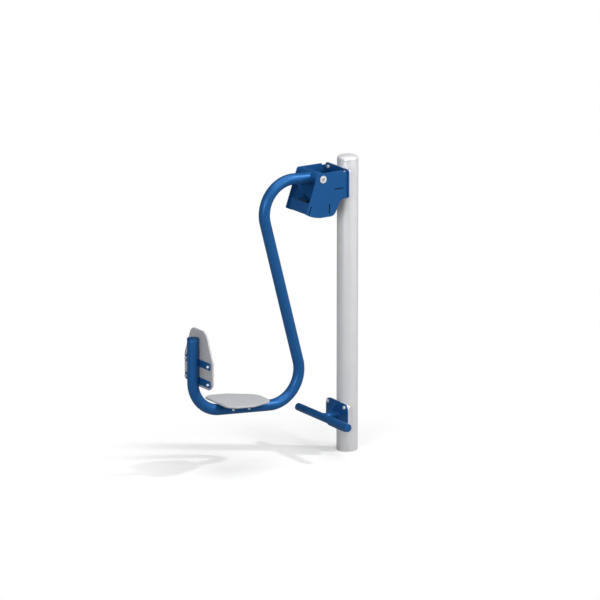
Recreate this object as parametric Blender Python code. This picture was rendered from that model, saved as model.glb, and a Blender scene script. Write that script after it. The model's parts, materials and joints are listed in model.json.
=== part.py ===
"""Outdoor leg press machine: a round post carries a pivot housing, a swinging arm
made of one bent tube with a seat and a backrest, and a foot rest low on the post.

Metres, +Z up. The origin is the middle of the post's foot, on the ground.
The seat lies towards -X, and the arm lies in the plane Y = 0. The arm turns about
an axis along Y through the housing, and rests against the rear rubber pad.
"""
import math

import bmesh
import bpy
from mathutils import Matrix, Vector

# Fits
CLEARANCE = 0.0003
RUNNING_GAP = 0.0005
TROUGH_CLEARANCE = 0.001
CUT_OVERRUN = 0.010

# Post
POST_DIAMETER = 0.1143
POST_WALL = 0.004
POST_HEIGHT = 1.604
CAP_RISE = 0.0245
CAP_BAND = 0.003
CAP_SHOULDER = 0.017
CAP_SPIGOT = 0.030
CAP_WALL = 0.003
FOOT_DISC_THICKNESS = 0.010

# Flanges welded to the post, and the plates bolted to them
FLANGE_THICKNESS = 0.008
FLANGE_STANDOFF = 0.0035
FLANGE_MARGIN = 0.002
PLATE_THICKNESS = 0.008
BACK_PLATE_LIP = 0.0076
BACK_PLATE_CORNER = 0.010
FOOT_PLATE_WIDTH = 0.207
FOOT_PLATE_HEIGHT = 0.1555
FOOT_PLATE_BOTTOM = 0.1245
FOOT_PLATE_CORNER = 0.032
BOLT_INSET = 0.019
BACK_BOLT_SETBACK = 0.0164
FOOT_BOLT_SETBACK = 0.0235

# Bolts and cap nuts of the two plates
BOLT_DIAMETER = 0.010
BOLT_HEAD_FLATS = 0.016
BOLT_HEAD_HEIGHT = 0.0065
NUT_FLATS = 0.017
NUT_HEX_HEIGHT = 0.010
NUT_DOME_HEIGHT = 0.008
THREAD_IN_NUT = 0.012
WASHER_DIAMETER = 0.019
WASHER_THICKNESS = 0.002

# Pivot housing
PIVOT_REACH = 0.2228
PIVOT_DROP = 0.0614
HOUSING_WIDTH = 0.2028
SHEET_THICKNESS = 0.005
SIDE_TOP_RISE = 0.0325
SIDE_FRONT_REACH = 0.032
SIDE_FRONT_LEAN = math.radians(19.1)
SIDE_SWEEP_RADIUS = 0.208
SIDE_NECK_DROP = 0.1206
SIDE_NECK_LENGTH = 0.041
SIDE_NECK_FILLET = 0.036
SIDE_REAR_LEAN = math.radians(24.6)
SIDE_REAR_FILLET = 0.040
SIDE_TOP_FILLET = 0.014
SIDE_TIP_FILLET = 0.004
TOP_STEP_LENGTH = 0.0315
TOP_STEP_DEPTH = 0.009
TAB_RECESS = 0.0035
FRONT_PLATE_INSET = 0.0165
FRONT_PLATE_HEIGHT = 0.060
FRONT_TAB_LENGTH = 0.0465
FRONT_TAB_RISE = 0.0045
REAR_PLATE_BOTTOM_GAP = 0.006
REAR_PLATE_HEIGHT = 0.074
REAR_TAB_LENGTH = 0.0527
REAR_TAB_RISE = 0.0095
SHELF_DROP = 0.0627
SHELF_LENGTH = 0.094
SHELF_TAB_LENGTH = 0.0545
SHELF_TAB_SETBACK = 0.026

# Axle and hub
AXLE_DIAMETER = 0.030
AXLE_CAP_DIAMETER = 0.040
AXLE_CAP_THICKNESS = 0.005
AXLE_SCREW_DIAMETER = 0.010
AXLE_SCREW_LENGTH = 0.024
AXLE_SCREW_HEAD = 0.018
AXLE_SCREW_HEAD_DEPTH = 0.0035
SOCKET_FLATS = 0.008
SOCKET_DEPTH = 0.0022
HUB_DIAMETER = 0.0603
HUB_WALL = 0.005
BUSH_FLANGE_DIAMETER = 0.056
BUSH_FLANGE = 0.003
BUSH_LENGTH = 0.032

# Stop fin and rubber pads
SWING_LIMIT = math.radians(16.0)
FIN_THICKNESS = 0.012
FIN_FRONT_REACH = 0.097
FIN_WAIST_DROP = 0.125
FIN_REAR_REACH = 0.022
FIN_HEEL_RISE = 0.045
FIN_ROOT_REACH = 0.018
PAD_WIDTH = 0.060
PAD_THICKNESS = 0.016
PAD_HEIGHT = 0.044
PAD_PROUD = 0.014
PAD_CORNER = 0.004

# Arm tube: places of the meeting points of its straight stretches
TUBE_DIAMETER = 0.0603
TUBE_WALL = 0.0035
BEND_RADIUS = 0.175
ARM_DROP = 0.009
SHOULDER_OUT = 0.3589
SHOULDER_RISE = 0.0136
KNEE_REACH = 0.2518
KNEE_HEIGHT = 0.3037
HEEL_REACH = 0.9737
HEEL_HEIGHT = 0.3626
UPRIGHT_TOP = 0.761
TUBE_CAP_RISE = 0.004
TUBE_CAP_SPIGOT = 0.020

# Brackets, seat and backrest
BRACKET_WIDTH = 0.038
BRACKET_THICKNESS = 0.006
SEAT_STANDOFF = 0.0048
BACK_STANDOFF = 0.004
BRACKET_CORNER = 0.010
BRACKET_PITCH = 0.0975
BRACKET_INSET = 0.015
STUD_INSET = 0.013
STUD_DIAMETER = 0.010
STUD_IN_BOARD = 0.006
CAP_NUT_FLATS = 0.014
CAP_NUT_HEX = 0.0065
CAP_NUT_DOME = 0.006
DOME_SHARES = (0.0, 0.45, 0.8, 0.97)
BOARD_THICKNESS = 0.010
BOARD_EDGE = 0.0025
SEAT_LENGTH = 0.309
SEAT_WIDTH = 0.277
SEAT_FRONT_WIDTH = 0.144
SEAT_SIDE_START = 0.156
SEAT_REAR_CHAMFER = 0.028
SEAT_REAR_SLOPE = 0.048
SEAT_REAR_SETBACK = 0.0443
SEAT_BRACKET_GAP = 0.0014
SEAT_CORNER = 0.033
SEAT_FRONT_CORNER = 0.058
BACK_HEIGHT = 0.312
BACK_WIDTH = 0.276
BACK_TOP_WIDTH = 0.140
BACK_SIDE_START = 0.158
BACK_FOOT_CHAMFER = 0.034
BACK_FOOT_SLOPE = 0.030
BACK_OVERHANG = 0.0279
BACK_BRACKET_SETBACK = 0.035
BACK_CORNER = 0.030
BACK_TOP_CORNER = 0.050

# Foot rest
FOOT_BAR_DIAMETER = 0.0424
FOOT_BAR_WALL = 0.003
FOOT_BAR_LENGTH = 0.490
FOOT_BAR_REACH = 0.1548
FOOT_BAR_HEIGHT = 0.2015
FOOT_BAR_CAP = 0.003
FOOT_BAR_CAP_SPIGOT = 0.016
STUB_DIAMETER = 0.0424
STUB_WALL = 0.0032
GUSSET_THICKNESS = 0.006
GUSSET_HEIGHT = 0.0505
GUSSET_REACH = 0.0425
GUSSET_TOE = 0.003

# Facets round a full turn, and along one bend
SIDES_LARGE = 36
SIDES_TUBE = 24
SIDES_SMALL = 12
BEND_STEPS = 12
FILLET_STEPS = 5
CROWN_STEPS = 4
SWEEP_STEPS = 10

# Places that follow from the sizes above
post_radius = POST_DIAMETER / 2
tube_radius = TUBE_DIAMETER / 2
hub_radius = HUB_DIAMETER / 2
pivot = Vector((-PIVOT_REACH, 0, POST_HEIGHT - PIVOT_DROP))
flange_front = -(post_radius + FLANGE_STANDOFF)
plate_rear = flange_front - CLEARANCE
plate_front = plate_rear - PLATE_THICKNESS
side_rear = plate_front - CLEARANCE - pivot.x
side_outer = HOUSING_WIDTH / 2
side_inner = side_outer - SHEET_THICKNESS
tab_reach = side_outer - TAB_RECESS
bracket_length = BACK_WIDTH - 2 * BRACKET_INSET


def material(name, colour, roughness, metallic):
    """A plain surface with a colour, a roughness and a metallic value."""
    made = bpy.data.materials.new(name)
    made.use_nodes = True
    shader = made.node_tree.nodes["Principled BSDF"]
    shader.inputs["Base Color"].default_value = (*colour, 1.0)
    shader.inputs["Roughness"].default_value = roughness
    shader.inputs["Metallic"].default_value = metallic
    return made


def add_object(name, bm, surface, parent=None):
    """Turns a bmesh into a named object with outward faces."""
    bmesh.ops.recalc_face_normals(bm, faces=bm.faces)
    mesh = bpy.data.meshes.new(name)
    bm.to_mesh(mesh)
    bm.free()
    mesh.shade_smooth()
    mesh.set_sharp_from_angle(angle=math.radians(30))
    made = bpy.data.objects.new(name, mesh)
    bpy.context.collection.objects.link(made)
    if surface is not None:
        mesh.materials.append(surface)
    made.parent = parent
    return made


def ring_points(radius, sides, hexagonal=False):
    """Points round one turn; a hexagon has its flats at this radius."""
    points = []
    for k in range(sides):
        angle = 2 * math.pi * k / sides
        reach = radius
        if hexagonal:
            offset = (angle + math.pi / 6) % (math.pi / 3) - math.pi / 6
            reach = radius / math.cos(offset)
        points.append((reach * math.cos(angle), reach * math.sin(angle)))
    return points


def turned(rings, sides, closed=False):
    """Rings (place along Z, radius, hexagonal) joined into one solid.

    An open list gets a flat cap at both ends; a closed one joins its last ring
    to its first, which makes a tube with a bore.
    """
    bm = bmesh.new()
    loops = []
    for place, radius, hexagonal in rings:
        loops.append([bm.verts.new((x, y, place)) for x, y in ring_points(radius, sides, hexagonal)])
    pairs = list(zip(loops[:-1], loops[1:]))
    if closed:
        pairs.append((loops[-1], loops[0]))
    for first, second in pairs:
        for k in range(sides):
            after = (k + 1) % sides
            bm.faces.new((first[k], first[after], second[after], second[k]))
    if not closed:
        bm.faces.new(loops[0])
        bm.faces.new(loops[-1])
    return bm


def rod(radius, start, end, sides):
    """A plain round bar along Z."""
    return turned([(start, radius, False), (end, radius, False)], sides)


def pipe(outer, inner, start, end, sides):
    """A tube along Z with open ends."""
    rings = [(start, outer, False), (end, outer, False), (end, inner, False), (start, inner, False)]
    return turned(rings, sides, closed=True)


def to_axis(made, axis, place):
    """Turns an object built along Z to lie along an axis, and places it."""
    made.rotation_mode = "QUATERNION"
    made.rotation_quaternion = Vector((0, 0, 1)).rotation_difference(Vector(axis))
    made.location = place
    return made


def rounded(corners):
    """Points of an outline whose corners (x, y, radius) are rounded by arcs."""
    points = []
    count = len(corners)
    for k in range(count):
        here = Vector(corners[k][:2])
        radius = corners[k][2]
        if radius == 0:
            points.append(here)
            continue
        before = (Vector(corners[k - 1][:2]) - here).normalized()
        after = (Vector(corners[(k + 1) % count][:2]) - here).normalized()
        half = before.angle(after) / 2
        reach = radius / math.tan(half)
        centre = here + (before + after).normalized() * (radius / math.sin(half))
        first = here + before * reach - centre
        last = here + after * reach - centre
        turn = first.angle_signed(last)
        for step in range(FILLET_STEPS + 1):
            angle = -turn * step / FILLET_STEPS
            points.append(centre + Matrix.Rotation(angle, 2) @ first)
    return points


def extruded(outline, depth, plane):
    """A flat outline given a depth, half to each side of its plane."""
    places = {
        "yz": lambda a, b, c: (c, a, b),
        "xz": lambda a, b, c: (a, c, b),
        "xy": lambda a, b, c: (a, b, c),
    }
    place = places[plane]
    bm = bmesh.new()
    low = [bm.verts.new(place(a, b, -depth / 2)) for a, b in outline]
    high = [bm.verts.new(place(a, b, depth / 2)) for a, b in outline]
    bm.faces.new(low)
    bm.faces.new(high)
    for k in range(len(low)):
        after = (k + 1) % len(low)
        bm.faces.new((low[k], low[after], high[after], high[k]))
    return bm


def rectangle(width, height, corner=0):
    """Corners of a rectangle about its middle, for rounded()."""
    a = width / 2
    b = height / 2
    return [(-a, -b, corner), (a, -b, corner), (a, b, corner), (-a, b, corner)]


def cut(target, cutter_mesh, name, matrix=None):
    """Cuts a shape out of an object, whose place it shares unless a matrix is given."""
    cutter = add_object(name, cutter_mesh, None)
    cutter.matrix_world = matrix if matrix is not None else Matrix.Identity(4)
    cutter.hide_render = True
    cutter.display_type = "WIRE"
    step = target.modifiers.new(name, "BOOLEAN")
    step.operation = "DIFFERENCE"
    step.solver = "EXACT"
    step.object = cutter
    return cutter


def merged(parts):
    """Several separate shapes (bmesh, matrix) as one mesh, for cutting."""
    whole = bmesh.new()
    for bm, matrix in parts:
        bmesh.ops.recalc_face_normals(bm, faces=bm.faces)
        bm.transform(matrix)
        mesh = bpy.data.meshes.new("cutter_piece")
        bm.to_mesh(mesh)
        bm.free()
        whole.from_mesh(mesh)
        bpy.data.meshes.remove(mesh)
    return whole


def along(axis, place):
    """The matrix that lays a shape built along Z along an axis at a place."""
    turn = Vector((0, 0, 1)).rotation_difference(Vector(axis))
    return Matrix.Translation(place) @ turn.to_matrix().to_4x4()


def bore(target, places, axis, radius, depth, name):
    """Round holes of one size, each centred on its place along the axis."""
    parts = [(rod(radius, -depth / 2, depth / 2, SIDES_SMALL), along(axis, place)) for place in places]
    cut(target, merged(parts), name)


def side_outline():
    """The side plate's outline in X and Z, measured from the pivot."""
    lean = SIDE_FRONT_LEAN
    top = SIDE_TOP_RISE
    step_x = side_rear - TOP_STEP_LENGTH
    front_top = Vector((-SIDE_FRONT_REACH, top))
    down = Vector((-math.sin(lean), -math.cos(lean)))
    tip = front_top + down * sweep_distance(front_top, down)
    neck = Vector((side_rear - SIDE_NECK_LENGTH, -SIDE_NECK_DROP))
    rear_down = Vector((-math.sin(SIDE_REAR_LEAN), -math.cos(SIDE_REAR_LEAN)))
    rear_foot = neck + rear_down * (SIDE_SWEEP_RADIUS + neck.y) / math.cos(SIDE_REAR_LEAN)
    corners = [
        (side_rear, -SIDE_NECK_DROP, 0),
        (side_rear, top - TOP_STEP_DEPTH, 0),
        (step_x, top - TOP_STEP_DEPTH, 0),
        (step_x, top, 0),
        (front_top.x, front_top.y, SIDE_TOP_FILLET),
        (tip.x, tip.y, SIDE_TIP_FILLET),
    ]
    start = math.atan2(tip.y, tip.x)
    end = -math.pi / 2
    for k in range(1, SWEEP_STEPS + 1):
        angle = start + (end - start) * k / SWEEP_STEPS
        corners.append((SIDE_SWEEP_RADIUS * math.cos(angle), SIDE_SWEEP_RADIUS * math.sin(angle), 0))
    corners.append((rear_foot.x, rear_foot.y, SIDE_REAR_FILLET))
    corners.append((neck.x, neck.y, SIDE_NECK_FILLET))
    return rounded(corners)


def sweep_distance(start, direction):
    """How far from a point along a direction the sweep radius about the pivot lies."""
    ahead = start.dot(direction)
    return -ahead + math.sqrt(ahead * ahead - start.dot(start) + SIDE_SWEEP_RADIUS ** 2)


def front_plate_frame():
    """The lower front plate's bottom edge, upward and inward directions, from the pivot."""
    upward = Vector((math.sin(SIDE_FRONT_LEAN), math.cos(SIDE_FRONT_LEAN)))
    inward = Vector((math.cos(SIDE_FRONT_LEAN), -math.sin(SIDE_FRONT_LEAN)))
    high = Vector((-SIDE_FRONT_REACH, SIDE_TOP_RISE)) + inward * FRONT_PLATE_INSET
    bottom = high - upward * (sweep_distance(high, -upward) - SHEET_THICKNESS / 2)
    return bottom, upward, inward


def rear_plate_x():
    """The lower rear plate's middle, behind the fin's heel and the rear pad."""
    return FIN_REAR_REACH + CLEARANCE + PAD_THICKNESS + CLEARANCE + SHEET_THICKNESS / 2


def tabbed_outline(height, tab_length, tab_rise):
    """A sheet between the side plates, with one tab on each side into their slots."""
    inner = side_inner - CLEARANCE
    low = tab_rise
    high = tab_rise + tab_length
    right = [(inner, 0), (inner, low), (tab_reach, low), (tab_reach, high), (inner, high), (inner, height)]
    left = [(-a, b) for a, b in right[::-1]]
    return right + left


def slot_box(length, turn, middle):
    """A cutter for one tab slot: sheet thickness and tab length, each with clearance."""
    outline = [(a, b) for a, b, _ in rectangle(SHEET_THICKNESS + 2 * CLEARANCE, length + 2 * CLEARANCE)]
    matrix = Matrix.Translation(middle) @ Matrix.Rotation(turn, 4, "Y")
    return extruded(outline, HOUSING_WIDTH + 2 * CUT_OVERRUN, "xz"), matrix


def arm_vertices():
    """Meeting points of the arm tube's straight stretches, in X and Z."""
    return [
        Vector((pivot.x, pivot.z - ARM_DROP)),
        Vector((pivot.x - SHOULDER_OUT, pivot.z + SHOULDER_RISE)),
        Vector((-KNEE_REACH, KNEE_HEIGHT)),
        Vector((-HEEL_REACH, HEEL_HEIGHT)),
        Vector((-HEEL_REACH, UPRIGHT_TOP)),
    ]


def bend_reach(k):
    """How far from a meeting point of the arm its bend runs along both stretches."""
    corners = arm_vertices()
    arriving = corners[k] - corners[k - 1]
    leaving = corners[k + 1] - corners[k]
    return BEND_RADIUS * math.tan(arriving.angle(leaving) / 2)


def arm_stations():
    """Points and directions along the arm tube's middle, with an arc at each bend."""
    corners = arm_vertices()
    stations = [(corners[0], (corners[1] - corners[0]).normalized())]
    for k in range(1, len(corners) - 1):
        here = corners[k]
        arriving = (here - corners[k - 1]).normalized()
        leaving = (corners[k + 1] - here).normalized()
        turn = arriving.angle_signed(leaving)
        start = here - arriving * bend_reach(k)
        side = Vector((-arriving.y, arriving.x)) * (-1 if turn > 0 else 1)
        centre = start + side * BEND_RADIUS
        for step in range(BEND_STEPS + 1):
            bend = Matrix.Rotation(-turn * step / BEND_STEPS, 2)
            stations.append((centre + bend @ (start - centre), bend @ arriving))
    stations.append((corners[-1], (corners[-1] - corners[-2]).normalized()))
    return stations


def swept(stations, outer, inner, sides, origin):
    """A tube whose round section follows stations in the plane Y = 0."""
    bm = bmesh.new()
    loops = []
    for radius, chain in ((outer, stations), (inner, stations[::-1])):
        for point, direction in chain:
            across = Vector((-direction.y, direction.x))
            loop = []
            for a, b in ring_points(radius, sides):
                place = Vector((point.x + across.x * a, b, point.y + across.y * a)) - origin
                loop.append(bm.verts.new(place))
            loops.append(loop)
    for k in range(len(loops)):
        first = loops[k]
        second = loops[(k + 1) % len(loops)]
        for n in range(sides):
            after = (n + 1) % sides
            bm.faces.new((first[n], first[after], second[after], second[n]))
    return bm


def make_post(paint, bare):
    """The post, its domed cap and the disc that closes its foot."""
    bore_radius = post_radius - POST_WALL
    add_object("post", pipe(post_radius, bore_radius, 0, POST_HEIGHT, SIDES_LARGE), paint)
    spigot = bore_radius - CLEARANCE
    hollow = spigot - CAP_WALL
    rim = POST_HEIGHT + CLEARANCE
    rings = [(rim - CAP_SPIGOT, hollow, False), (rim - CAP_SPIGOT, spigot, False), (rim, spigot, False)]
    rings += [(rim + height, radius, False) for height, radius in cap_profile()]
    bm = turned(rings + [(rim + CAP_WALL, hollow, False)], SIDES_LARGE, closed=True)
    close_dome(bm, rim + CAP_RISE, rim + CAP_WALL)
    add_object("post_cap", bm, paint)
    disc = rod(bore_radius - CLEARANCE, 0, FOOT_DISC_THICKNESS, SIDES_LARGE)
    add_object("post_foot_disc", disc, bare)


def cap_profile():
    """Height and radius round the cap: a short band, a shoulder arc, then a shallow crown."""
    inset = post_radius - CAP_SHOULDER
    rise = CAP_RISE - CAP_BAND
    crown = (inset ** 2 + rise ** 2 - CAP_SHOULDER ** 2) / (2 * (rise - CAP_SHOULDER))
    spread = math.asin(inset / (crown - CAP_SHOULDER))
    profile = [(0, post_radius)]
    for k in range(FILLET_STEPS + 1):
        angle = (math.pi / 2 - spread) * k / FILLET_STEPS
        profile.append((CAP_BAND + CAP_SHOULDER * math.sin(angle), inset + CAP_SHOULDER * math.cos(angle)))
    for k in range(1, CROWN_STEPS):
        angle = spread * (1 - k / CROWN_STEPS)
        profile.append((CAP_RISE - crown * (1 - math.cos(angle)), crown * math.sin(angle)))
    return profile


def close_dome(bm, top, ceiling):
    """Replaces the ring of faces between dome and hollow by a crown and a ceiling."""
    bm.verts.ensure_lookup_table()
    count = len(bm.verts)
    crown = bm.verts[count - 2 * SIDES_LARGE:count - SIDES_LARGE]
    roof = bm.verts[count - SIDES_LARGE:]
    between = [f for f in bm.faces if any(v in crown for v in f.verts) and any(v in roof for v in f.verts)]
    bmesh.ops.delete(bm, geom=between, context="FACES_ONLY")
    for loop, height in ((crown, top), (roof, ceiling)):
        middle = bm.verts.new((0, 0, height))
        for k in range(len(loop)):
            bm.faces.new((loop[k], loop[(k + 1) % len(loop)], middle))


def plate_holes(height, middle, span):
    """Places of the four bolts of a bolted plate, near side first."""
    rise = height / 2 - BOLT_INSET
    places = []
    for side in (-1, 1):
        for level in (1, -1):
            places.append(Vector((0, side * span / 2, middle + level * rise)))
    return places


def make_bolted_pair(name, width, height, corner, middle, holes, blue, silver):
    """A flange that saddles the post, and the blue plate bolted in front of it."""
    hole = BOLT_DIAMETER / 2 + CLEARANCE
    flange_size = (width - 2 * FLANGE_MARGIN, height - 2 * FLANGE_MARGIN)
    outline = rounded(rectangle(*flange_size, max(corner - FLANGE_MARGIN, FLANGE_MARGIN)))
    flange = add_object(name + "_flange", extruded(outline, FLANGE_THICKNESS, "yz"), silver)
    flange.location = (flange_front + FLANGE_THICKNESS / 2, 0, middle)
    saddle = rod(post_radius + CLEARANCE, middle - height, middle + height, SIDES_LARGE)
    cut(flange, saddle, name + "_flange_saddle")
    bore(flange, holes, (1, 0, 0), hole, POST_DIAMETER * 2, name + "_flange_holes")
    outline = rounded(rectangle(width, height, corner))
    plate = add_object(name, extruded(outline, PLATE_THICKNESS, "yz"), blue)
    plate.location = (plate_rear - PLATE_THICKNESS / 2, 0, middle)
    bore(plate, holes, (1, 0, 0), hole, POST_DIAMETER * 2, name + "_holes")


def bolt_mesh():
    """A bolt along Z: head below, with its washer face, and shank up into the cap nut."""
    radius = BOLT_DIAMETER / 2
    seat = WASHER_THICKNESS
    grip = seat + PLATE_THICKNESS + 3 * CLEARANCE + FLANGE_THICKNESS
    chamfer = BOLT_HEAD_HEIGHT / 6
    flats = BOLT_HEAD_FLATS / 2
    rings = [
        (-BOLT_HEAD_HEIGHT, flats - chamfer, False),
        (-BOLT_HEAD_HEIGHT + chamfer, flats, True),
        (0, flats, True),
        (0, WASHER_DIAMETER / 2, False),
        (seat, WASHER_DIAMETER / 2, False),
        (seat, radius, False),
        (grip + THREAD_IN_NUT, radius, False),
    ]
    return turned(rings, SIDES_SMALL)


def cap_nut_rings(flats, hex_height, dome_height):
    """Outer rings of a cap nut that stands on Z = 0: a hexagon with a dome."""
    chamfer = hex_height / 8
    base = flats - chamfer
    rings = [(0, base, False), (chamfer, flats, True), (hex_height, flats, True)]
    for share in DOME_SHARES:
        rings.append((hex_height + dome_height * share, base * math.sqrt(1 - share ** 2), False))
    return rings


def nut_mesh():
    """A cap nut with its blind bore, standing on Z = 0."""
    radius = BOLT_DIAMETER / 2 + CLEARANCE
    rings = cap_nut_rings(NUT_FLATS / 2, NUT_HEX_HEIGHT, NUT_DOME_HEIGHT)
    inside = [(0, radius, False), (THREAD_IN_NUT + CLEARANCE, radius, False)]
    return turned(inside[::-1] + rings, SIDES_SMALL)


def make_plate_fixings(name, holes, zinc):
    """Four bolts from the front and four cap nuts behind the flange."""
    head_x = plate_front - CLEARANCE - WASHER_THICKNESS
    nut_x = flange_front + FLANGE_THICKNESS + CLEARANCE
    for number, place in enumerate(holes, start=1):
        bolt = add_object(f"{name}_bolt_{number}", bolt_mesh(), zinc)
        to_axis(bolt, (1, 0, 0), (head_x, place.y, place.z))
        nut = add_object(f"{name}_nut_{number}", nut_mesh(), zinc)
        to_axis(nut, (1, 0, 0), (nut_x, place.y, place.z))


def make_side_plate(name, side, blue):
    """One side plate of the housing with its axle bore and three tab slots."""
    plate = add_object(name, extruded(side_outline(), SHEET_THICKNESS, "xz"), blue)
    plate.location = pivot + Vector((0, side * (side_outer - SHEET_THICKNESS / 2), 0))
    axle = rod(AXLE_DIAMETER / 2 + CLEARANCE, -HOUSING_WIDTH, HOUSING_WIDTH, SIDES_TUBE)
    bottom, upward, _ = front_plate_frame()
    tab = bottom + upward * (FRONT_TAB_RISE + FRONT_TAB_LENGTH / 2)
    rear_z = rear_plate_bottom() + REAR_TAB_RISE + REAR_TAB_LENGTH / 2
    shelf_x = side_rear - CLEARANCE - SHELF_TAB_SETBACK - SHELF_TAB_LENGTH / 2
    cutters = [(axle, along((0, 1, 0), pivot))]
    cutters.append(slot_box(FRONT_TAB_LENGTH, SIDE_FRONT_LEAN, pivot + Vector((tab.x, 0, tab.y))))
    cutters.append(slot_box(REAR_TAB_LENGTH, 0, pivot + Vector((rear_plate_x(), 0, rear_z))))
    cutters.append(slot_box(SHELF_TAB_LENGTH, math.pi / 2, pivot + Vector((shelf_x, 0, -SHELF_DROP))))
    cut(plate, merged(cutters), name + "_openings")


def rear_plate_bottom():
    """The lower rear plate's bottom edge, just above the side plates' level edge."""
    return -SIDE_SWEEP_RADIUS + REAR_PLATE_BOTTOM_GAP


def make_housing(blue):
    """Side plates and the three sheets that tie them together."""
    make_side_plate("side_plate_near", -1, blue)
    make_side_plate("side_plate_far", 1, blue)
    bottom, _, _ = front_plate_frame()
    outline = tabbed_outline(FRONT_PLATE_HEIGHT, FRONT_TAB_LENGTH, FRONT_TAB_RISE)
    front = add_object("front_plate", extruded(outline, SHEET_THICKNESS, "yz"), blue)
    front.location = pivot + Vector((bottom.x, 0, bottom.y))
    front.rotation_euler = (0, SIDE_FRONT_LEAN, 0)
    outline = tabbed_outline(REAR_PLATE_HEIGHT, REAR_TAB_LENGTH, REAR_TAB_RISE)
    rear = add_object("rear_plate", extruded(outline, SHEET_THICKNESS, "yz"), blue)
    rear.location = pivot + Vector((rear_plate_x(), 0, rear_plate_bottom()))
    outline = tabbed_outline(SHELF_LENGTH, SHELF_TAB_LENGTH, SHELF_TAB_SETBACK)
    turned_outline = [(-b, a) for a, b in outline]
    shelf = add_object("shelf_plate", extruded(turned_outline, SHEET_THICKNESS, "xy"), blue)
    shelf.location = pivot + Vector((side_rear - CLEARANCE, 0, -SHELF_DROP))


def make_axle(steel, zinc):
    """The fixed axle, its two end caps and their screws."""
    thread = AXLE_SCREW_DIAMETER / 2
    depth = AXLE_SCREW_LENGTH
    rings = [
        (-side_outer + depth, thread + CLEARANCE, False),
        (-side_outer, thread + CLEARANCE, False),
        (-side_outer, AXLE_DIAMETER / 2, False),
        (side_outer, AXLE_DIAMETER / 2, False),
        (side_outer, thread + CLEARANCE, False),
        (side_outer - depth, thread + CLEARANCE, False),
    ]
    to_axis(add_object("axle", turned(rings, SIDES_TUBE), steel), (0, 1, 0), pivot)
    cap_radius = AXLE_CAP_DIAMETER / 2
    head = AXLE_SCREW_HEAD / 2
    edge = AXLE_CAP_THICKNESS / 4
    pocket = AXLE_CAP_THICKNESS - AXLE_SCREW_HEAD_DEPTH
    cap_rings = [
        (0, thread + CLEARANCE, False),
        (0, cap_radius, False),
        (AXLE_CAP_THICKNESS - edge, cap_radius, False),
        (AXLE_CAP_THICKNESS, cap_radius - edge, False),
        (AXLE_CAP_THICKNESS, head + 2 * CLEARANCE, False),
        (pocket, head + 2 * CLEARANCE, False),
        (pocket, thread + CLEARANCE, False),
    ]
    socket = SOCKET_FLATS / 2
    reach = AXLE_SCREW_LENGTH - 2 * CLEARANCE
    screw_rings = [
        (-reach, thread, False),
        (pocket + CLEARANCE, thread, False),
        (pocket + CLEARANCE, head, False),
        (AXLE_CAP_THICKNESS, head, False),
        (AXLE_CAP_THICKNESS, socket, True),
        (AXLE_CAP_THICKNESS - SOCKET_DEPTH, socket, True),
    ]
    for name, side in (("near", -1), ("far", 1)):
        place = pivot + Vector((0, side * (side_outer + CLEARANCE), 0))
        cap = add_object("axle_cap_" + name, turned(cap_rings, SIDES_TUBE, closed=True), zinc)
        to_axis(cap, (0, side, 0), place)
        screw = add_object("axle_screw_" + name, turned(screw_rings, SIDES_SMALL), steel)
        to_axis(screw, (0, side, 0), place)


def make_pads(rubber):
    """The two rubber pads that stop the fin at the ends of its swing."""
    size = rounded(rectangle(PAD_WIDTH, PAD_HEIGHT, PAD_CORNER))
    bottom, upward, inward = front_plate_frame()
    offset = SHEET_THICKNESS / 2 + CLEARANCE + PAD_THICKNESS / 2
    middle = bottom + upward * (FRONT_PLATE_HEIGHT + PAD_PROUD - PAD_HEIGHT / 2) + inward * offset
    front = add_object("front_pad", extruded(size, PAD_THICKNESS, "yz"), rubber)
    front.location = pivot + Vector((middle.x, 0, middle.y))
    front.rotation_euler = (0, SIDE_FRONT_LEAN, 0)
    rear = add_object("rear_pad", extruded(size, PAD_THICKNESS, "yz"), rubber)
    tip = fin_front_edge()[1]
    height = tip.y + PAD_CORNER + PAD_HEIGHT / 2
    rear.location = pivot + Vector((FIN_REAR_REACH + CLEARANCE + PAD_THICKNESS / 2, 0, height))


def fin_front_edge():
    """Where the front pad's face lies when the swing is turned back to rest."""
    bottom, upward, inward = front_plate_frame()
    face = bottom + inward * (SHEET_THICKNESS / 2 + 2 * CLEARANCE + PAD_THICKNESS)
    high = face + upward * (FRONT_PLATE_HEIGHT + PAD_PROUD)
    low = high - upward * PAD_HEIGHT
    back = Matrix.Rotation(SWING_LIMIT, 2)
    return back @ high, back @ low


def make_fin(blue, parent):
    """The stop fin: a plate under hub and tube that swings between the pads."""
    high, low = fin_front_edge()
    edge = (high - low).normalized()
    waist = low + edge * ((-FIN_WAIST_DROP - low.y) / edge.y)
    shoulder = Vector((-SHOULDER_OUT, SHOULDER_RISE))
    root = Vector((0, -ARM_DROP))
    front = root + (shoulder - root) * (FIN_FRONT_REACH / SHOULDER_OUT)
    outline = [
        (0, 0),
        (front.x, front.y),
        (front.x, front.y - tube_radius - CLEARANCE),
        (waist.x, waist.y),
        (low.x, low.y),
        (FIN_REAR_REACH, low.y),
        (FIN_REAR_REACH, low.y + FIN_HEEL_RISE),
        (FIN_ROOT_REACH, 0),
    ]
    fin = add_object("stop_fin", extruded(outline, FIN_THICKNESS, "xz"), blue, parent)
    direction = Vector((shoulder.x - root.x, 0, shoulder.y - root.y))
    under_tube = rod(tube_radius + CLEARANCE, -TUBE_DIAMETER, direction.length, SIDES_TUBE)
    cutters = [(under_tube, along(direction, pivot + Vector((root.x, 0, root.y))))]
    hub = rod(hub_radius + CLEARANCE, -HUB_DIAMETER, HUB_DIAMETER, SIDES_TUBE)
    cut(fin, merged(cutters), "stop_fin_tube_seat")
    cut(fin, hub, "stop_fin_hub_seat", along((0, 1, 0), pivot))


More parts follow.
